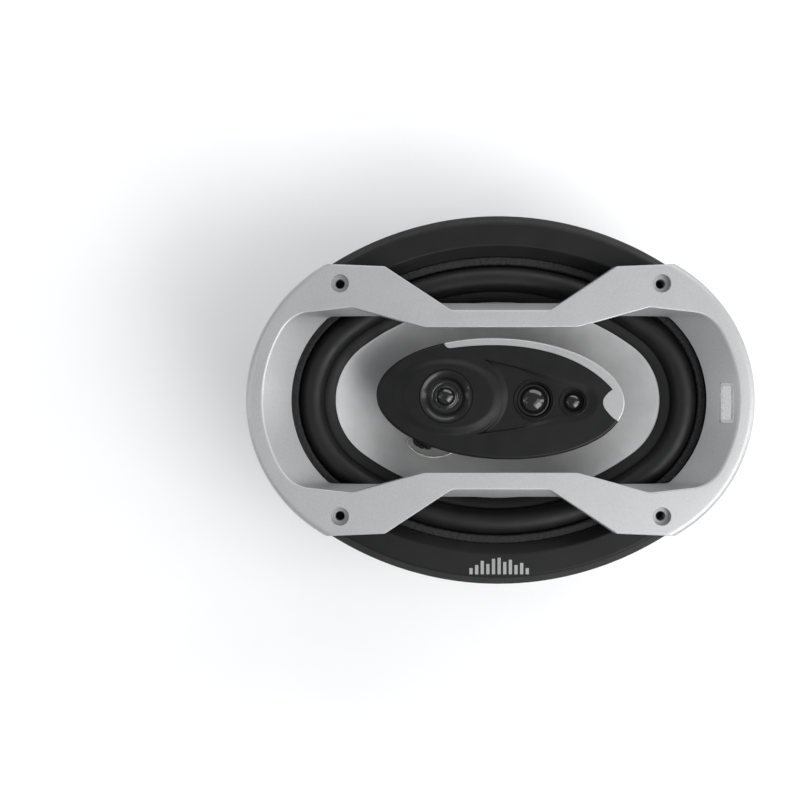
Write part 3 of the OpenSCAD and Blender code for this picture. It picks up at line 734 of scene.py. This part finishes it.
def badge_blank():
    back = plate("badge_back", rounded_box(7.7, 19.2, 1.0), -1.0, -0.75, 0.05)
    face = plate("badge_face", rounded_box(5.0, 16.6, 0.8), -0.8, -0.3, 0.12)
    piece = join("badge_blank_plate", [back, face])
    return finish_piece(place(piece, badge_frame()), "badge_foil", "badge_blank")


# ---- Trim ring, mark and gasket --------------------------------------------


def trim_ring():
    b = RING_B
    outline = rounded([
        (b - 19.6, 1.2), (b - 19.6, 2.9, 0.5), (b - 14.6, RING_Z, 1.3), (b - 4, RING_Z, 2.2), (b, 3, 1.6),
        (b, 0, 0.4), (b - 2.8, 0), (b - 2.8, 2.6), (b - 5, 5.6), (b - 13.6, 5.6), (b - 17.2, 2),
        (b - 17.2, 1.2)])
    return finish_piece(oval_band("trim_ring_moulding", outline), "black_abs", "trim_ring")


MARK_LEVELS = (3, 4.5, 6.5, 5, 7.5, 8, 6, 7, 4.5, 5.5, 3)


def ring_mark():
    """Plain bars of unequal height, as on a level meter."""
    pitch, width = 2.7, 1.6
    top = -(RING_B - 14.6) - 1.3
    bars = []
    for i, tall in enumerate(MARK_LEVELS):
        x = (i - (len(MARK_LEVELS) - 1) / 2) * pitch
        outline = rounded_box(width, tall, 0.3) + [x, top - 8 + tall / 2]
        bars.append(plate(f"bar_{i}", outline, RING_Z - 0.02, RING_Z + 0.16, 0.05))
    return finish_piece(join("ring_mark_bars", bars), "grey_ink", "ring_mark")


def gasket():
    low, high = RING_B - 23.35, RING_B - 19.75
    top = [(b, 2.9) for b in np.linspace(low + 0.5, high - 0.4, 8)]
    outline = [(low, -2.0), (low, 0.5), (low, 2.3), *top, (high, 2.4), (high, -2.0)]
    piece = oval_band("gasket_foam_ring", outline, angles=oval_angles(260, 330), sharp=80)
    roughen(piece, 1.3, 0.32)
    roughen(piece, 0.7, 0.2, 5.0)
    return finish_piece(piece, "gasket_foam", "gasket", flat=False)


# ---- Cone, surround and spider ---------------------------------------------

CONE_B = 47.7
NECK_R = 16.0
NECK_Z, RIM_Z = -31.0, -2.2
ROLL_B, ROLL_R = RING_B - 30, 6.3


def cone_point(s, t):
    """Plan of the cone from its round neck, s = 0, to its oval rim, s = 1."""
    ring = NECK_R * np.column_stack([np.cos(t), np.sin(t)])
    return (1 - s) * ring + s * oval(CONE_B, t)


def cone_height(s):
    return NECK_Z + (RIM_Z - 0.8 - NECK_Z) * s**0.8


def cone():
    t = oval_angles()
    steps = np.linspace(0, 1, 40) ** 1.1
    under = [level(cone_point(s, t), cone_height(s)) for s in steps]
    over = [level(cone_point(s, t), cone_height(s) + 0.8 * (1.5 - 0.5 * s)) for s in steps[::-1]]
    rim = [level(oval(CONE_B + 4.6, t), z) for z in (RIM_Z - 0.8, RIM_Z)]
    piece = band("cone_body", under + rim + over, sharp=50)
    return finish_piece(piece, "cone_pulp", "cone", "cone_assembly", flat=False)


def flex(piece, share):
    """Bakes a piece's placement into its mesh. share, from 0 on the chassis to 1 on the moving cone, is not
    used.
    """
    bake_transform(piece)
    return piece


def smoothstep(x):
    x = np.clip(x, 0, 1)
    return x * x * (3 - 2 * x)


def vertices(piece):
    points = np.zeros(len(piece.data.vertices) * 3)
    piece.data.vertices.foreach_get("co", points)
    return points.reshape(-1, 3) / MM


def oval_size(points):
    """Half height b of the family's oval through each point."""
    x, y = np.abs(points[:, 0]), np.abs(points[:, 1])
    end, side = np.hypot(x - END_X, y) + UNIT, np.hypot(x, y + SIDE_Y) - SIDE_Y
    return np.where(3 * y < 4 * (x - END_X), end, side)


def surround():
    """Half-roll of rubber between a glue rim on the cone and a lip under the gasket."""
    thick = 0.7
    foot = RIM_Z + thick
    arc = np.linspace(pi, 0, 25)
    over = [(ROLL_B + ROLL_R * cos(a), foot + ROLL_R * sin(a)) for a in arc]
    under = [(ROLL_B + (ROLL_R - thick) * cos(a), foot + (ROLL_R - thick) * sin(a)) for a in arc[::-1]]
    lip = RING_B - 19.7
    under_rim = RIM_Z + 0.02
    outline = [(CONE_B + 0.2, under_rim), (CONE_B, RIM_Z + 0.3), (CONE_B + 0.3, foot), *over,
               (ROLL_B + ROLL_R + 0.1, -2.2), (lip, -2.2), (lip, -2.8),
               (ROLL_B + ROLL_R - thick, -2.8), *under, (ROLL_B - ROLL_R + thick, under_rim)]
    piece = oval_band("surround_roll", outline, sharp=60)
    finish_piece(piece, "butyl_rubber", "surround", None, flat=False)
    inner, outer = ROLL_B - ROLL_R + thick, ROLL_B + ROLL_R
    return flex(piece, smoothstep((outer - oval_size(vertices(piece))) / (outer - inner)))


def spider():
    low, high = NECK_R, 43.0
    middle = span("spider")[0][2] + 1.35
    radii = np.linspace(19.5, 37, 97)
    wave = [(r, middle + 1.1 * sin((r - 19.5) / 17.5 * 12 * pi)) for r in radii]
    path = [(low, middle), (18.5, middle), *wave, (38.5, middle), (high, middle)]
    outline = [(r, z + 0.25) for r, z in path] + [(r, z - 0.25) for r, z in path[::-1]]
    piece = lathe("spider_disc", outline, n=128, sharp=60)
    finish_piece(piece, "spider_cloth", "spider", None, flat=False)
    radius = np.hypot(*vertices(piece)[:, :2].T)
    return flex(piece, smoothstep((37.5 - radius) / 18))


def glue_patch():
    """Lump of black adhesive over the joint of a lead, pressed onto the cone."""
    bm = bmesh.new()
    bmesh.ops.create_icosphere(bm, subdivisions=5, radius=MM)
    mesh = bpy.data.meshes.new("cone_glue_lump")
    bm.to_mesh(mesh)
    bm.free()
    piece = bpy.data.objects.new("cone_glue_lump", mesh)
    scene.collection.objects.link(piece)
    lie = Matrix.Translation((-36.6, -21.4, -12.6)) @ Matrix.Rotation(radians(60.6), 4, "Z")
    lie = lie @ Matrix.Rotation(radians(30.6), 4, "Y") @ Matrix.Diagonal((2.8, 4.3, 1.5, 1))
    place(piece, lie)
    roughen(piece, 3.2, 1.1)
    roughen(piece, 1.0, 0.5, 3.0)
    shade(piece, 80)
    return finish_piece(piece, "black_glue", "cone_glue_patch", "cone_assembly", flat=False)


COIL_LEAD_ROUTE = [
    (-40.3, -18.8, -12.4), (-41.7, -18.7, -12.0), (-43.3, -19.8, -11.0), (-43.6, -21.7, -10.1),
    (-42.2, -23.6, -9.5), (-40.3, -25.2, -9.4), (-38.2, -26.5, -9.4), (-35.0, -27.6, -9.7),
    (-31.5, -28.1, -10.4), (-27.6, -27.9, -11.6), (-24.0, -27.0, -13.1), (-20.6, -25.6, -15.0),
    (-17.9, -23.2, -17.3)]
TINSEL_ROUTE = [
    (9.0, -55.9, -20.6), (9.1, -54.4, -20.4), (9.4, -52.8, -20.8), (9.7, -51.0, -21.9),
    (10.1, -49.0, -23.3), (10.5, -46.8, -24.5), (10.9, -44.4, -25.2), (11.2, -42.0, -25.4),
    (11.5, -39.6, -25.1), (11.7, -37.3, -24.3), (11.8, -35.2, -23.0), (11.9, -33.4, -21.5),
    (12.0, -31.9, -20.0), (12.0, -30.7, -18.4), (12.0, -30.0, -16.8)]


def coil_lead():
    piece = braid("coil_lead_braid", COIL_LEAD_ROUTE, 0.9)
    return finish_piece(piece, "tinned_braid", "coil_lead", "cone_assembly", flat=False)


def tinsel_lead(name, side, node):
    """Flexible lead from the terminal board to the back of the cone."""
    route = [(side * x, y, z) for x, y, z in TINSEL_ROUTE]
    piece = braid(name, route, 1.4, pitch=4)
    finish_piece(piece, "tinned_braid", node, None, flat=False)
    y = vertices(piece)[:, 1]
    flex(piece, smoothstep((y - route[1][1]) / (route[-2][1] - route[1][1])))
    return piece


# ---- Basket ----------------------------------------------------------------


def window_cutter(centre, middle, width, near, far, corner=3.2):
    """Block with rounded corners that cuts a window through the basket's wall."""
    low, high = -31.0, -9.0
    nominal = (near + far) / 2
    half = radians(width) / 2 * nominal
    outline = rounded([(half, low, corner), (half, high, corner),
                       (-half, high, corner), (-half, low, corner)])
    a = radians(middle) + outline[:, 0] / nominal
    loops = [np.column_stack([centre[0] + r * np.cos(a), centre[1] + r * np.sin(a), outline[:, 1]])
             for r in (near, far)]
    return solid("window", loops)


TERMINAL_TILT = radians(120.04)
TERMINAL = Matrix.Translation((0, -57.04, -20.5)) @ Matrix.Rotation(TERMINAL_TILT, 4, "X")
BOARD_RIVETS, TABS = (-16, 16), (-9, 9)


def basket():
    """Pressed steel: a flange, a seat for the surround, a windowed wall, a floor and a round well."""
    t = oval_angles()
    b = FLANGE_B
    back = WELL_Z
    well = back + SHEET
    floor = well + 8

    def around(outline):
        return [level(oval(size, t), z) for size, z in outline]

    def about_axis(outline):
        return [level(r * np.column_stack([np.cos(t), np.sin(t)]), z) for r, z in outline]

    seat = rounded([(b, 0), (b, SHEET, 0.5), (b - 16.4, SHEET, 1.0), (b - 16.4, -2.8, 0.6),
                    (b - 20.8, -2.8, 1.2), (46, floor, 3.0), (43, floor)], closed=False)
    bowl = rounded([(42, floor), (39, floor, 1.5), (37, well, 1.5), (18.2, well), (18.2, back),
                    (38, back, 1.5), (40, floor - SHEET, 1.5), (42, floor - SHEET)], closed=False)
    back_wall = rounded([(43, floor - SHEET), (46.7, floor - SHEET, 3.5), (65.9, -4, 1.5),
                         (b - 15.2, -4, 1.0), (b - 15.2, 0, 0.5), (b, 0)], closed=False)[:-1]
    piece = band("basket_pressing", around(seat) + about_axis(bowl) + around(back_wall))
    pad = place(plate("pad", rounded_box(40, 22, 2.5), -1.7, 1.4, 0.5), TERMINAL)
    carve(piece, [pad], "UNION")
    cutters = [place(plate("pad_window", rounded_box(25, 12, 2), -5, 5, 0.1), TERMINAL)]
    for side in (1, -1):
        for i in (-1, 0, 1):
            middle = 90 - side * 90 + 34 * i
            cutters.append(window_cutter((side * END_X, 0), middle, width=22, near=24, far=62))
    for i in (-3, -1, 1, 3):
        cutters.append(window_cutter((0, -SIDE_Y), 90 + 9.2 * i, width=10.2, near=98, far=136))
    for i in (-3, 3):
        cutters.append(window_cutter((0, SIDE_Y), 270 + 9.2 * i, width=10.2, near=98, far=136))
    for at in SCREWS:
        cutters.append(rod(SCREW_HOLE_R, -1, 2, at))
    for x in BOARD_RIVETS:
        cutters.append(place(rod(1.5, -5, 5, (x, 0)), TERMINAL))
    carve(piece, cutters)
    return finish_piece(piece, "basket_paint", "basket")


def basket_rivets():
    parts = []
    for quarter in range(4):
        a = pi / 4 + quarter * pi / 2
        at = (29 * cos(a), 29 * sin(a))
        seat = WELL_Z + SHEET
        outline = rounded([(0, PLATE_Z), (2, PLATE_Z), (2, seat), (3.5, seat, 0.3), (3.5, seat + 0.6, 0.6),
                           (1.6, seat + 1, 0.5), (0, seat + 0.85)])
        parts.append(lathe(f"rivet_{quarter}", outline, at, 40))
    return finish_piece(join("basket_rivet_set", parts), "fastener_steel", "basket_rivets")


# ---- Motor and post --------------------------------------------------------


def motor():
    """Top plate, ferrite ring and yoke, stacked on the axis."""
    gap = POLE_R + 2.7
    top = rounded([(gap, PLATE_Z), (PLATE_R, PLATE_Z, 0.9), (PLATE_R, WELL_Z, 0.9), (gap, WELL_Z, 0.3)])
    finish_piece(lathe("top_plate_ring", top, n=160), "zinc_steel", "top_plate")
    side = [(MAGNET_R, z) for z in (-63, -59, -55)]
    ring = rounded([(24, MAGNET_Z, 0.6), (MAGNET_R, MAGNET_Z, 0.9), *side, (MAGNET_R, PLATE_Z, 0.9),
                    (24, PLATE_Z, 0.6)])
    magnet = roughen(lathe("magnet_ring", ring, n=200), 2.2, 0.09)
    finish_piece(magnet, "ferrite", "magnet", flat=False)
    back, groove, bore = FLOOR_Z, FLOOR_Z + 0.4, POST_R + 0.2
    yoke = rounded([(bore, RECESS_Z), (9.5, RECESS_Z, 0.3), (9.5, back, 0.5), (26, back), (26.6, groove, 0.4),
                    (28.4, groove, 0.4), (29, back), (PLATE_R, back, 1.2), (PLATE_R, MAGNET_Z, 1.0),
                    (POLE_R, MAGNET_Z, 0.6), (POLE_R, WELL_Z, 1.2), (bore, WELL_Z, 0.3)])
    finish_piece(lathe("yoke_turned", yoke, n=160), "zinc_steel", "yoke")


def post_and_nut():
    """Tube through the pole with a collar on it, and its washer and nut in the yoke's recess."""
    end, collar, top, hollow = RECESS_Z - 4.2, WELL_Z + 3, 8, 2.5
    thread = [(POST_R - 0.22 * (k % 2), end + 0.8 + 0.45 * k) for k in range(13)]
    outline = [(hollow, end), (3.5, end), *thread, (POST_R, end + 6.6), (POST_R, WELL_Z), (6.5, WELL_Z),
               (6.5, collar - 0.3), (6.2, collar), (POST_R, collar), (POST_R, top - 0.6), (3.6, top),
               (hollow, top)]
    finish_piece(lathe("post_tube", outline, n=72), "fastener_steel", "post")
    seat = RECESS_Z - 0.8
    hole = POST_R + 0.05
    washer = rounded([(hole, seat, 0.1), (8.8, seat, 0.25), (8.8, RECESS_Z, 0.25), (hole, RECESS_Z, 0.1)])
    finish_piece(lathe("post_washer_ring", washer, n=80), "fastener_steel", "post_washer")
    corners = [(7.4 * cos(k * pi / 3), 7.4 * sin(k * pi / 3), 0.25) for k in range(6)]
    back = seat - 3.2
    nut = plate("post_hex_nut", rounded(corners, True, 3), back, seat, 0.05)
    barrel = [(0, back - 0.1), (6.5, back - 0.1), (7.5, back + 0.5), (7.5, seat - 0.5), (6.9, seat),
              (6.9, seat + 0.1), (0, seat + 0.1)]
    carve(nut, [lathe("barrel", barrel, n=72)], "INTERSECT")
    thread_r = POST_R + 0.02
    bore = [(0, back - 0.8), (4.5, back - 0.8), (thread_r, back + 0.3), (thread_r, seat + 1), (0, seat + 1)]
    carve(nut, [lathe("nut_bore", bore, n=64)])
    finish_piece(nut, "brass_plate", "post_nut")


# ---- Pod -------------------------------------------------------------------

POD_X, POD_Y = 58.8, 28.7
POD = Matrix.Translation((0, 0.6, 0)) @ Matrix.Rotation(radians(-2.4), 4, "Z")
FACE_Z, MOUND_Z, TROUGH_Z, TRIM_Z, SPLIT_Z = 18.6, 19.9, 17.4, 16.4, 11.0
DRIVER_X = {"tweeter": -25.9, "mid": 15.9, "super": 34.6}
STEP_CENTRE, STEP_R, STEP_W = np.array([-15.9, 0.9]), 19.2, 2.4


def pod_ellipse(n=480):
    """Outline of the pod and its unit normals."""
    a = np.linspace(0, 2 * pi, n, endpoint=False)
    points = np.column_stack([POD_X * np.cos(a), POD_Y * np.sin(a)])
    normals = np.column_stack([np.cos(a) / POD_X, np.sin(a) / POD_Y])
    return points, normals / np.linalg.norm(normals, axis=1)[:, None]


def inside(points, corners):
    """Distance of points inside a convex counter-clockwise outline, negative outside it."""
    depth = np.full(len(points), 1e9)
    for p, q in zip(corners, np.roll(corners, -1, 0)):
        ahead = (q - p) / np.linalg.norm(q - p)
        depth = np.minimum(depth, (points - p) @ np.array([-ahead[1], ahead[0]]))
    return depth


def pod_height(points):
    """Height of the pod's face: a soft mound round the tweeter, and a recess past a crescent step."""
    x, y = points[:, 0], points[:, 1]
    mound = np.hypot((x + 24.9) / 27.2, y / 18.8)
    face = FACE_Z + (MOUND_Z - FACE_Z) * smoothstep((1 - mound) * 19 / 4.5)
    turn = np.linspace(-pi / 2 + 0.1, pi / 2 - 0.2, 14)
    tail = np.column_stack([37 + 9.6 * np.cos(turn), 0.4 + 9.4 * np.sin(turn)])
    recess = np.vstack([[(-12.4, -17.6), (31, -10.4)], tail, [(22.7, 12.6), (-8.3, 19.05)]])
    soft = 0.5 + 4.5 * smoothstep((x - 2) / 30)
    beyond = np.linalg.norm(points - STEP_CENTRE, axis=1) - STEP_R
    turn = np.arctan2(y - STEP_CENTRE[1], x - STEP_CENTRE[0])
    width = 0.5 + (STEP_W - 0.5) * np.clip(np.cos(turn * 1.25), 0, 1)
    past_step = np.clip((beyond + width) / width, 0, 1)
    depth = np.minimum(past_step, smoothstep(inside(points, recess) / soft))
    floor = TROUGH_Z + 0.35 * smoothstep((x - 10) / 35)
    return face + (floor - face) * depth


def pod_prism(outline, inset, low, high):
    outline = np.asarray(outline, float)
    return plate("prism", outline - outward(outline) * inset, low, high, 0.01, 1)


def trim_outline():
    """Plan of the crescent, counter-clockwise: tip, inner edge, lobe, and far outside the pod."""
    a, b, c, d = (np.array(p) for p in ((-25, 22.7), (1.7, 27.7), (33.6, 26.2), (52.5, 6.6)))
    inner = [(1 - w) ** 3 * a + 3 * (1 - w) ** 2 * w * b + 3 * (1 - w) * w * w * c + w**3 * d
             for w in np.linspace(0, 1, 49)]
    tip = [(-29, 34), (-28.1, 25.2), (-27.5, 24.0), (-26.6, 23.1)]
    lobe = smooth_path([(*p, 0) for p in ((50.8, 5.3), (49, 3.1), (48.2, 0.8), (48.8, -2), (50.8, -4.5),
                                          (53.3, -6.9), (55.8, -8.5))], 5)[:, :2]
    return np.vstack([tip, inner, lobe, [(66, -13), (66, 34)]])


def pod_rows(points, normals, outline):
    """Rings from [inset, z] pairs measured from the pod's outline."""
    return [level(points - normals * inset, z) for inset, z in outline]


def pod_housing():
    points, normals = pod_ellipse(600)
    inner = points - normals * 1.5
    rows = []
    for share in np.linspace(0.004, 1, 150):
        ring = inner * share
        rows.append(level(ring, pod_height(ring)))
    turn = np.linspace(pi / 2, 0, 7)[1:]
    rows += pod_rows(points, normals, [(1.5 - 1.5 * cos(a), FACE_Z - 1.5 + 1.5 * sin(a)) for a in turn])
    rows += pod_rows(points, normals, [(0, 14), (0, 11.3), (0.3, SPLIT_Z), (2, SPLIT_Z), (2, 14.4)])
    rows += [level(inner * share, 14.4) for share in (0.6, 0.004)]
    piece = solid("pod_housing_shell", rows, 40)
    tools = [rod(r, 0, 30, (DRIVER_X[k], 0), 128)
             for k, r in (("tweeter", 12.75), ("mid", 9.72), ("super", 6.82))]
    tools.append(pod_prism(trim_outline(), 0, TRIM_Z, 30))
    carve(piece, tools, sharp=32)
    return finish_piece(place(piece, POD), "pod_abs", "pod_housing")


def pod_trim():
    points, normals = pod_ellipse(480)
    turn = np.linspace(0, pi / 2, 6)
    edge = [(0.9 - 0.9 * cos(a), FACE_Z - 0.7 + 0.9 * sin(a)) for a in turn]
    rows = pod_rows(points, normals, [(0.05, TRIM_Z + 0.02), *edge])
    piece = solid("pod_trim_crescent", rows)
    carve(piece, [pod_prism(trim_outline(), 0.16, TRIM_Z - 3, 30)], "INTERSECT")
    bevel = piece.modifiers.new("bevel", "BEVEL")
    bevel.width, bevel.segments, bevel.limit_method, bevel.angle_limit = 0.18 * MM, 2, "ANGLE", radians(60)
    carve(piece, [])
    return finish_piece(place(piece, POD), "bright_silver", "pod_trim")


def pod_back():
    """Bowl under the pod, with the boss that stands on the post."""
    a = np.linspace(0, 2 * pi, 240, endpoint=False)
    unit = np.column_stack([np.cos(a), np.sin(a) * POD_Y / POD_X])
    outline = rounded([(0.2, 3), (33.5, 3, 8), (53.8, SPLIT_Z, 1), (58.4, SPLIT_Z, 0.3), (57.2, 9.6, 1.0),
                       (36.5, 1, 14), (0.2, 1)], closed=False, steps=7)
    piece = place(solid("pod_back_bowl", [level(unit * k, z) for k, z in outline]), POD)
    boss = rounded([(0, -7), (8.5, -7, 0.8), (8.5, 7, 0.6), (0, 7)])
    carve(piece, [lathe("boss", boss, n=96)], "UNION")
    carve(piece, [rod(POST_R + 0.05, -9, 12, n=72)])
    return finish_piece(piece, "pod_abs", "pod_back")


# ---- Small drivers ---------------------------------------------------------


def driver_part(name, outline, driver, slot, node, body="chassis", n=128, sharp=35):
    piece = place(lathe(name, outline, (DRIVER_X[driver], 0), n, sharp=sharp), POD)
    return finish_piece(piece, slot, node, body, flat=False)


def cap_curve(radius, height, base, steps=14):
    """Outline of a dome from its centre to its foot."""
    big = (radius**2 + height**2) / (2 * height)
    top = base + height
    return [(r, top - big + np.sqrt(big**2 - r * r)) for r in np.linspace(0, radius, steps)]


def tweeter():
    """Flared horn mouth, soft edge roll and dome."""
    throat, mouth = np.array([7.9, 16.0]), np.array([12.1, 19.95])
    turn = np.linspace(0, 1, 18)[:, None]
    bell = (1 - turn) ** 2 * throat + 2 * turn * (1 - turn) * np.array([8.9, 19.0]) + turn**2 * mouth
    horn = [(7.9, 15.4), *bell, (12.4, 19.95), (12.6, 19.7), (12.6, 15.4)]
    driver_part("tweeter_horn_mouth", horn, "tweeter", "gloss_black", "tweeter_horn", n=160)
    over = [(7.2 + 1.05 * cos(a), 15.6 + 0.28 * sin(a)) for a in np.linspace(0, pi, 13)]
    under = [(7.2 + 0.8 * cos(a), 15.6 + 0.05 * sin(a)) for a in np.linspace(pi, 0, 13)]
    roll = [(8.3, 15.2), (8.3, 15.8), *over[1:], *under, (8.0, 15.2)]
    edge = place(lathe("tweeter_edge_roll", roll, (DRIVER_X["tweeter"], 0), 128, sharp=60), POD)
    finish_piece(edge, "dome_film", "tweeter_edge", None, flat=False)
    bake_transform(edge)
    centre = np.array((POD @ Vector((DRIVER_X["tweeter"], 0, 0))).xy)
    radius = np.linalg.norm(vertices(edge)[:, :2] - centre, axis=1)
    over = [*cap_curve(4.3, 1.9, 16.3), (4.55, 16.1), (5.0, 16.0), (5.8, 15.95), (6.0, 15.85), (6.05, 15.6)]
    under = [(max(r - 0.25, 0), z - 0.25) for r, z in over[::-1]]
    driver_part("tweeter_dome_skin", over + under, "tweeter", "dome_film",
                "tweeter_dome", "tweeter_diaphragm", sharp=60)


def small_driver(name, dome_r, dome_h, flange_r, ring_in, ring_out):
    """Bevelled ring with a dome on its seat."""
    lip, seat = TROUGH_Z + 0.5, TRIM_Z - 2
    ring = rounded([
        (ring_in, seat - 1), (ring_out + 1, seat - 1), (ring_out + 1, seat), (ring_out, seat),
        (ring_out, lip + 0.1, 0.25), (ring_out - 0.5, lip + 0.25, 0.25), (ring_in + 0.45, lip - 0.75, 0.3),
        (ring_in, lip - 1.1, 0.15)])
    driver_part(f"{name}_bevel_ring", ring, name, "pod_abs", f"{name}_ring")
    base = seat + 0.8
    bead = [(dome_r + 0.15, base - 0.3), (flange_r - 0.1, base - 0.3), (flange_r, base - 0.4),
            (flange_r, seat), (dome_r - 0.3, seat)]
    dome = cap_curve(dome_r, dome_h, base, 18)
    under = [(max(r - 0.3, 0), z - 0.4) for r, z in dome[::-1]]
    driver_part(f"{name}_dome_cap", dome + bead + under, name, "dome_film", f"{name}_dome", sharp=60)


# ---- Terminals and capacitor -----------------------------------------------


def terminal_board():
    board = plate("terminal_fibre_board", rounded_box(38, 20, 1.5), 1.4, 3.0, 0.12)
    holes = [rod(1.52, 0, 5, (x, 0), 40) for x in sorted((*BOARD_RIVETS, *TABS))]
    return finish_piece(place(carve(board, holes), TERMINAL), "fibre_board", "terminal_board")


def terminal_tab(name, x, width, node):
    """Push-on blade on a foot, bent from one strip and held by a hollow rivet."""
    profile = rounded([(-4.5, 3.0), (4.5, 3.0, 0.9), (4.5, 12.0, 0.3), (3.7, 12.0, 0.3), (3.7, 3.8, 0.3),
                       (-4.5, 3.8)], True, 4)
    strip = plate(name, profile, -width / 2, width / 2, 0.08, 2)
    place(strip, Matrix(((0, 0, 1, x), (1, 0, 0, 0), (0, 1, 0, 0), (0, 0, 0, 1))))
    hole = place(rod(0.85, -2, 2), Matrix.Translation((x, 4.1, 8.6)) @ Matrix.Rotation(pi / 2, 4, "X"))
    corners = []
    for side in (-1, 1):
        cut = plate("corner", rounded_box(2, 2, 0.1), -2, 2, 0.01, 1)
        at = Matrix.Translation((x + side * (width / 2 + 0.25), 4.1, 12.25))
        turned = Matrix.Rotation(pi / 4, 4, "Y") @ Matrix.Rotation(pi / 2, 4, "X")
        corners.append(place(cut, at @ turned))
    carve(strip, [hole, *corners])
    barrel = rounded([(0.8, 0.4), (2.2, 0.4, 0.2), (2.2, 1.3, 0.2), (1.5, 1.4), (1.5, 3.8), (2.3, 3.82, 0.2),
                      (2.1, 4.18, 0.2), (1.2, 4.1, 0.3), (0.8, 3.4)])
    piece = join(f"{name}_blade", [strip, lathe("barrel", barrel, (x, 0), 48)])
    return finish_piece(place(piece, TERMINAL), "brass_plate", node)


def terminal_rivets():
    outline = rounded([(0.6, -2.2), (1.5, -2.2), (1.5, 3), (2.8, 3, 0.15), (2.6, 3.5, 0.4), (1.0, 3.8, 0.3),
                       (0.6, 3.3)])
    parts = [lathe(f"board_rivet_{k}", outline, (x, 0), 40) for k, x in enumerate(BOARD_RIVETS)]
    piece = place(join("terminal_rivet_pair", parts), TERMINAL)
    return finish_piece(piece, "fastener_steel", "terminal_rivets")


def capacitor():
    """Sleeved body with crimped ends and two leads, lying on the basket's floor."""
    sleeve = rounded([(0.4, 0.7), (3.4, 0.7, 0.4), (3.9, 0, 0.3), (4.7, 0, 0.4), (5, 0.9, 0.5), (5, 3),
                      (4.85, 3.6, 0.5), (5, 4.2), (5, 18.1, 0.5), (4.7, 19, 0.4), (3.9, 19, 0.3),
                      (3.4, 18.3, 0.4), (0.4, 18.3)])
    lead = tube("lead", [(0, 0, z) for z in np.linspace(-4, 23, 12)], 0.4, 12)
    piece = join("capacitor_body", [lathe("sleeve", sleeve, n=64), lead])
    lie = Matrix.Translation((29, -37.5, -42.2)) @ Matrix.Rotation(radians(12), 4, "Z")
    place(piece, lie @ Matrix.Rotation(pi / 2, 4, "Y"))
    return finish_piece(piece, "capacitor_sleeve", "crossover_capacitor")


# ---- Camera, floor and light -----------------------------------------------


def camera():
    data = bpy.data.cameras.new("camera")
    data.lens, data.sensor_width = 62.04, 36
    data.clip_start, data.clip_end = 0.01, 20
    made = bpy.data.objects.new("camera", data)
    made.location = (-0.0476, 0, 0.67)
    scene.collection.objects.link(made)
    scene.camera = made


def floor():
    """Pale sheet that the speaker stands on."""
    half, z = 4000, FLOOR_Z - 0.05
    corners = [(-half, -half, z), (half, -half, z), (half, half, z), (-half, half, z)]
    sheet = make("floor", corners, [[0, 1, 2, 3]])
    paper = plain("floor_paper", (90, 2), grey(0.93), grey(0.95), (30, 2), (0.85, 0.95), (0.8, 3), 0.01)
    sheet.data.materials.append(paper)


def area_light(name, at, size, power, toward=(0, 0, 0)):
    data = bpy.data.lights.new(name, "AREA")
    data.shape, data.size, data.size_y = "RECTANGLE", size[0] * MM, size[1] * MM
    data.energy = power
    light = bpy.data.objects.new(name, data)
    light.location = Vector(at) * MM
    light.rotation_mode = "QUATERNION"
    light.rotation_quaternion = (Vector(toward) - Vector(at)).to_track_quat("-Z", "Y")
    scene.collection.objects.link(light)


def lights():
    area_light("key", (700, -480, 1100), (1300, 1000), 7.5)
    area_light("near_key", (430, -400, 560), (520, 420), 2.9)
    area_light("top_panel", (300, 900, 650), (1500, 420), 7)
    area_light("left_panel", (-1100, -60, 360), (260, 1100), 1.7)
    area_light("right_panel", (1100, -60, 420), (260, 1100), 3.6)
    area_light("spark_a", (-420, 120, 500), (22, 22), 0.14)
    area_light("spark_b", (-420, -160, 500), (22, 22), 0.14)
    world = bpy.data.worlds.new("studio")
    world.use_nodes = True
    sky = world.node_tree.nodes["Background"]
    sky.inputs["Color"].default_value = (0.95, 0.97, 1.0, 1)
    sky.inputs["Strength"].default_value = 0.4
    scene.world = world
    scene.view_settings.view_transform = "Standard"


# ---- Build -----------------------------------------------------------------

camera()
lights()
dress_cad_nodes()
tinsel_lead("tinsel_braid_plus", -1, "tinsel_lead_plus")
tinsel_lead("tinsel_braid_minus", 1, "tinsel_lead_minus")
coil_lead()
bezel()
badge_blank()
trim_ring()
ring_mark()
gasket()
surround()
cone()
glue_patch()
spider()
basket()
basket_rivets()
motor()
post_and_nut()
pod_housing()
pod_trim()
pod_back()
tweeter()
small_driver("mid", dome_r=6.3, dome_h=2.6, flange_r=8.15, ring_in=8.2, ring_out=9.6)
small_driver("super", dome_r=4.3, dome_h=2.0, flange_r=5.05, ring_in=5.1, ring_out=6.7)
terminal_board()
terminal_tab("wide_tab", TABS[0], 6.3, "terminal_tab_wide")
terminal_tab("narrow_tab", TABS[1], 4.8, "terminal_tab_narrow")
terminal_rivets()
capacitor()
floor()
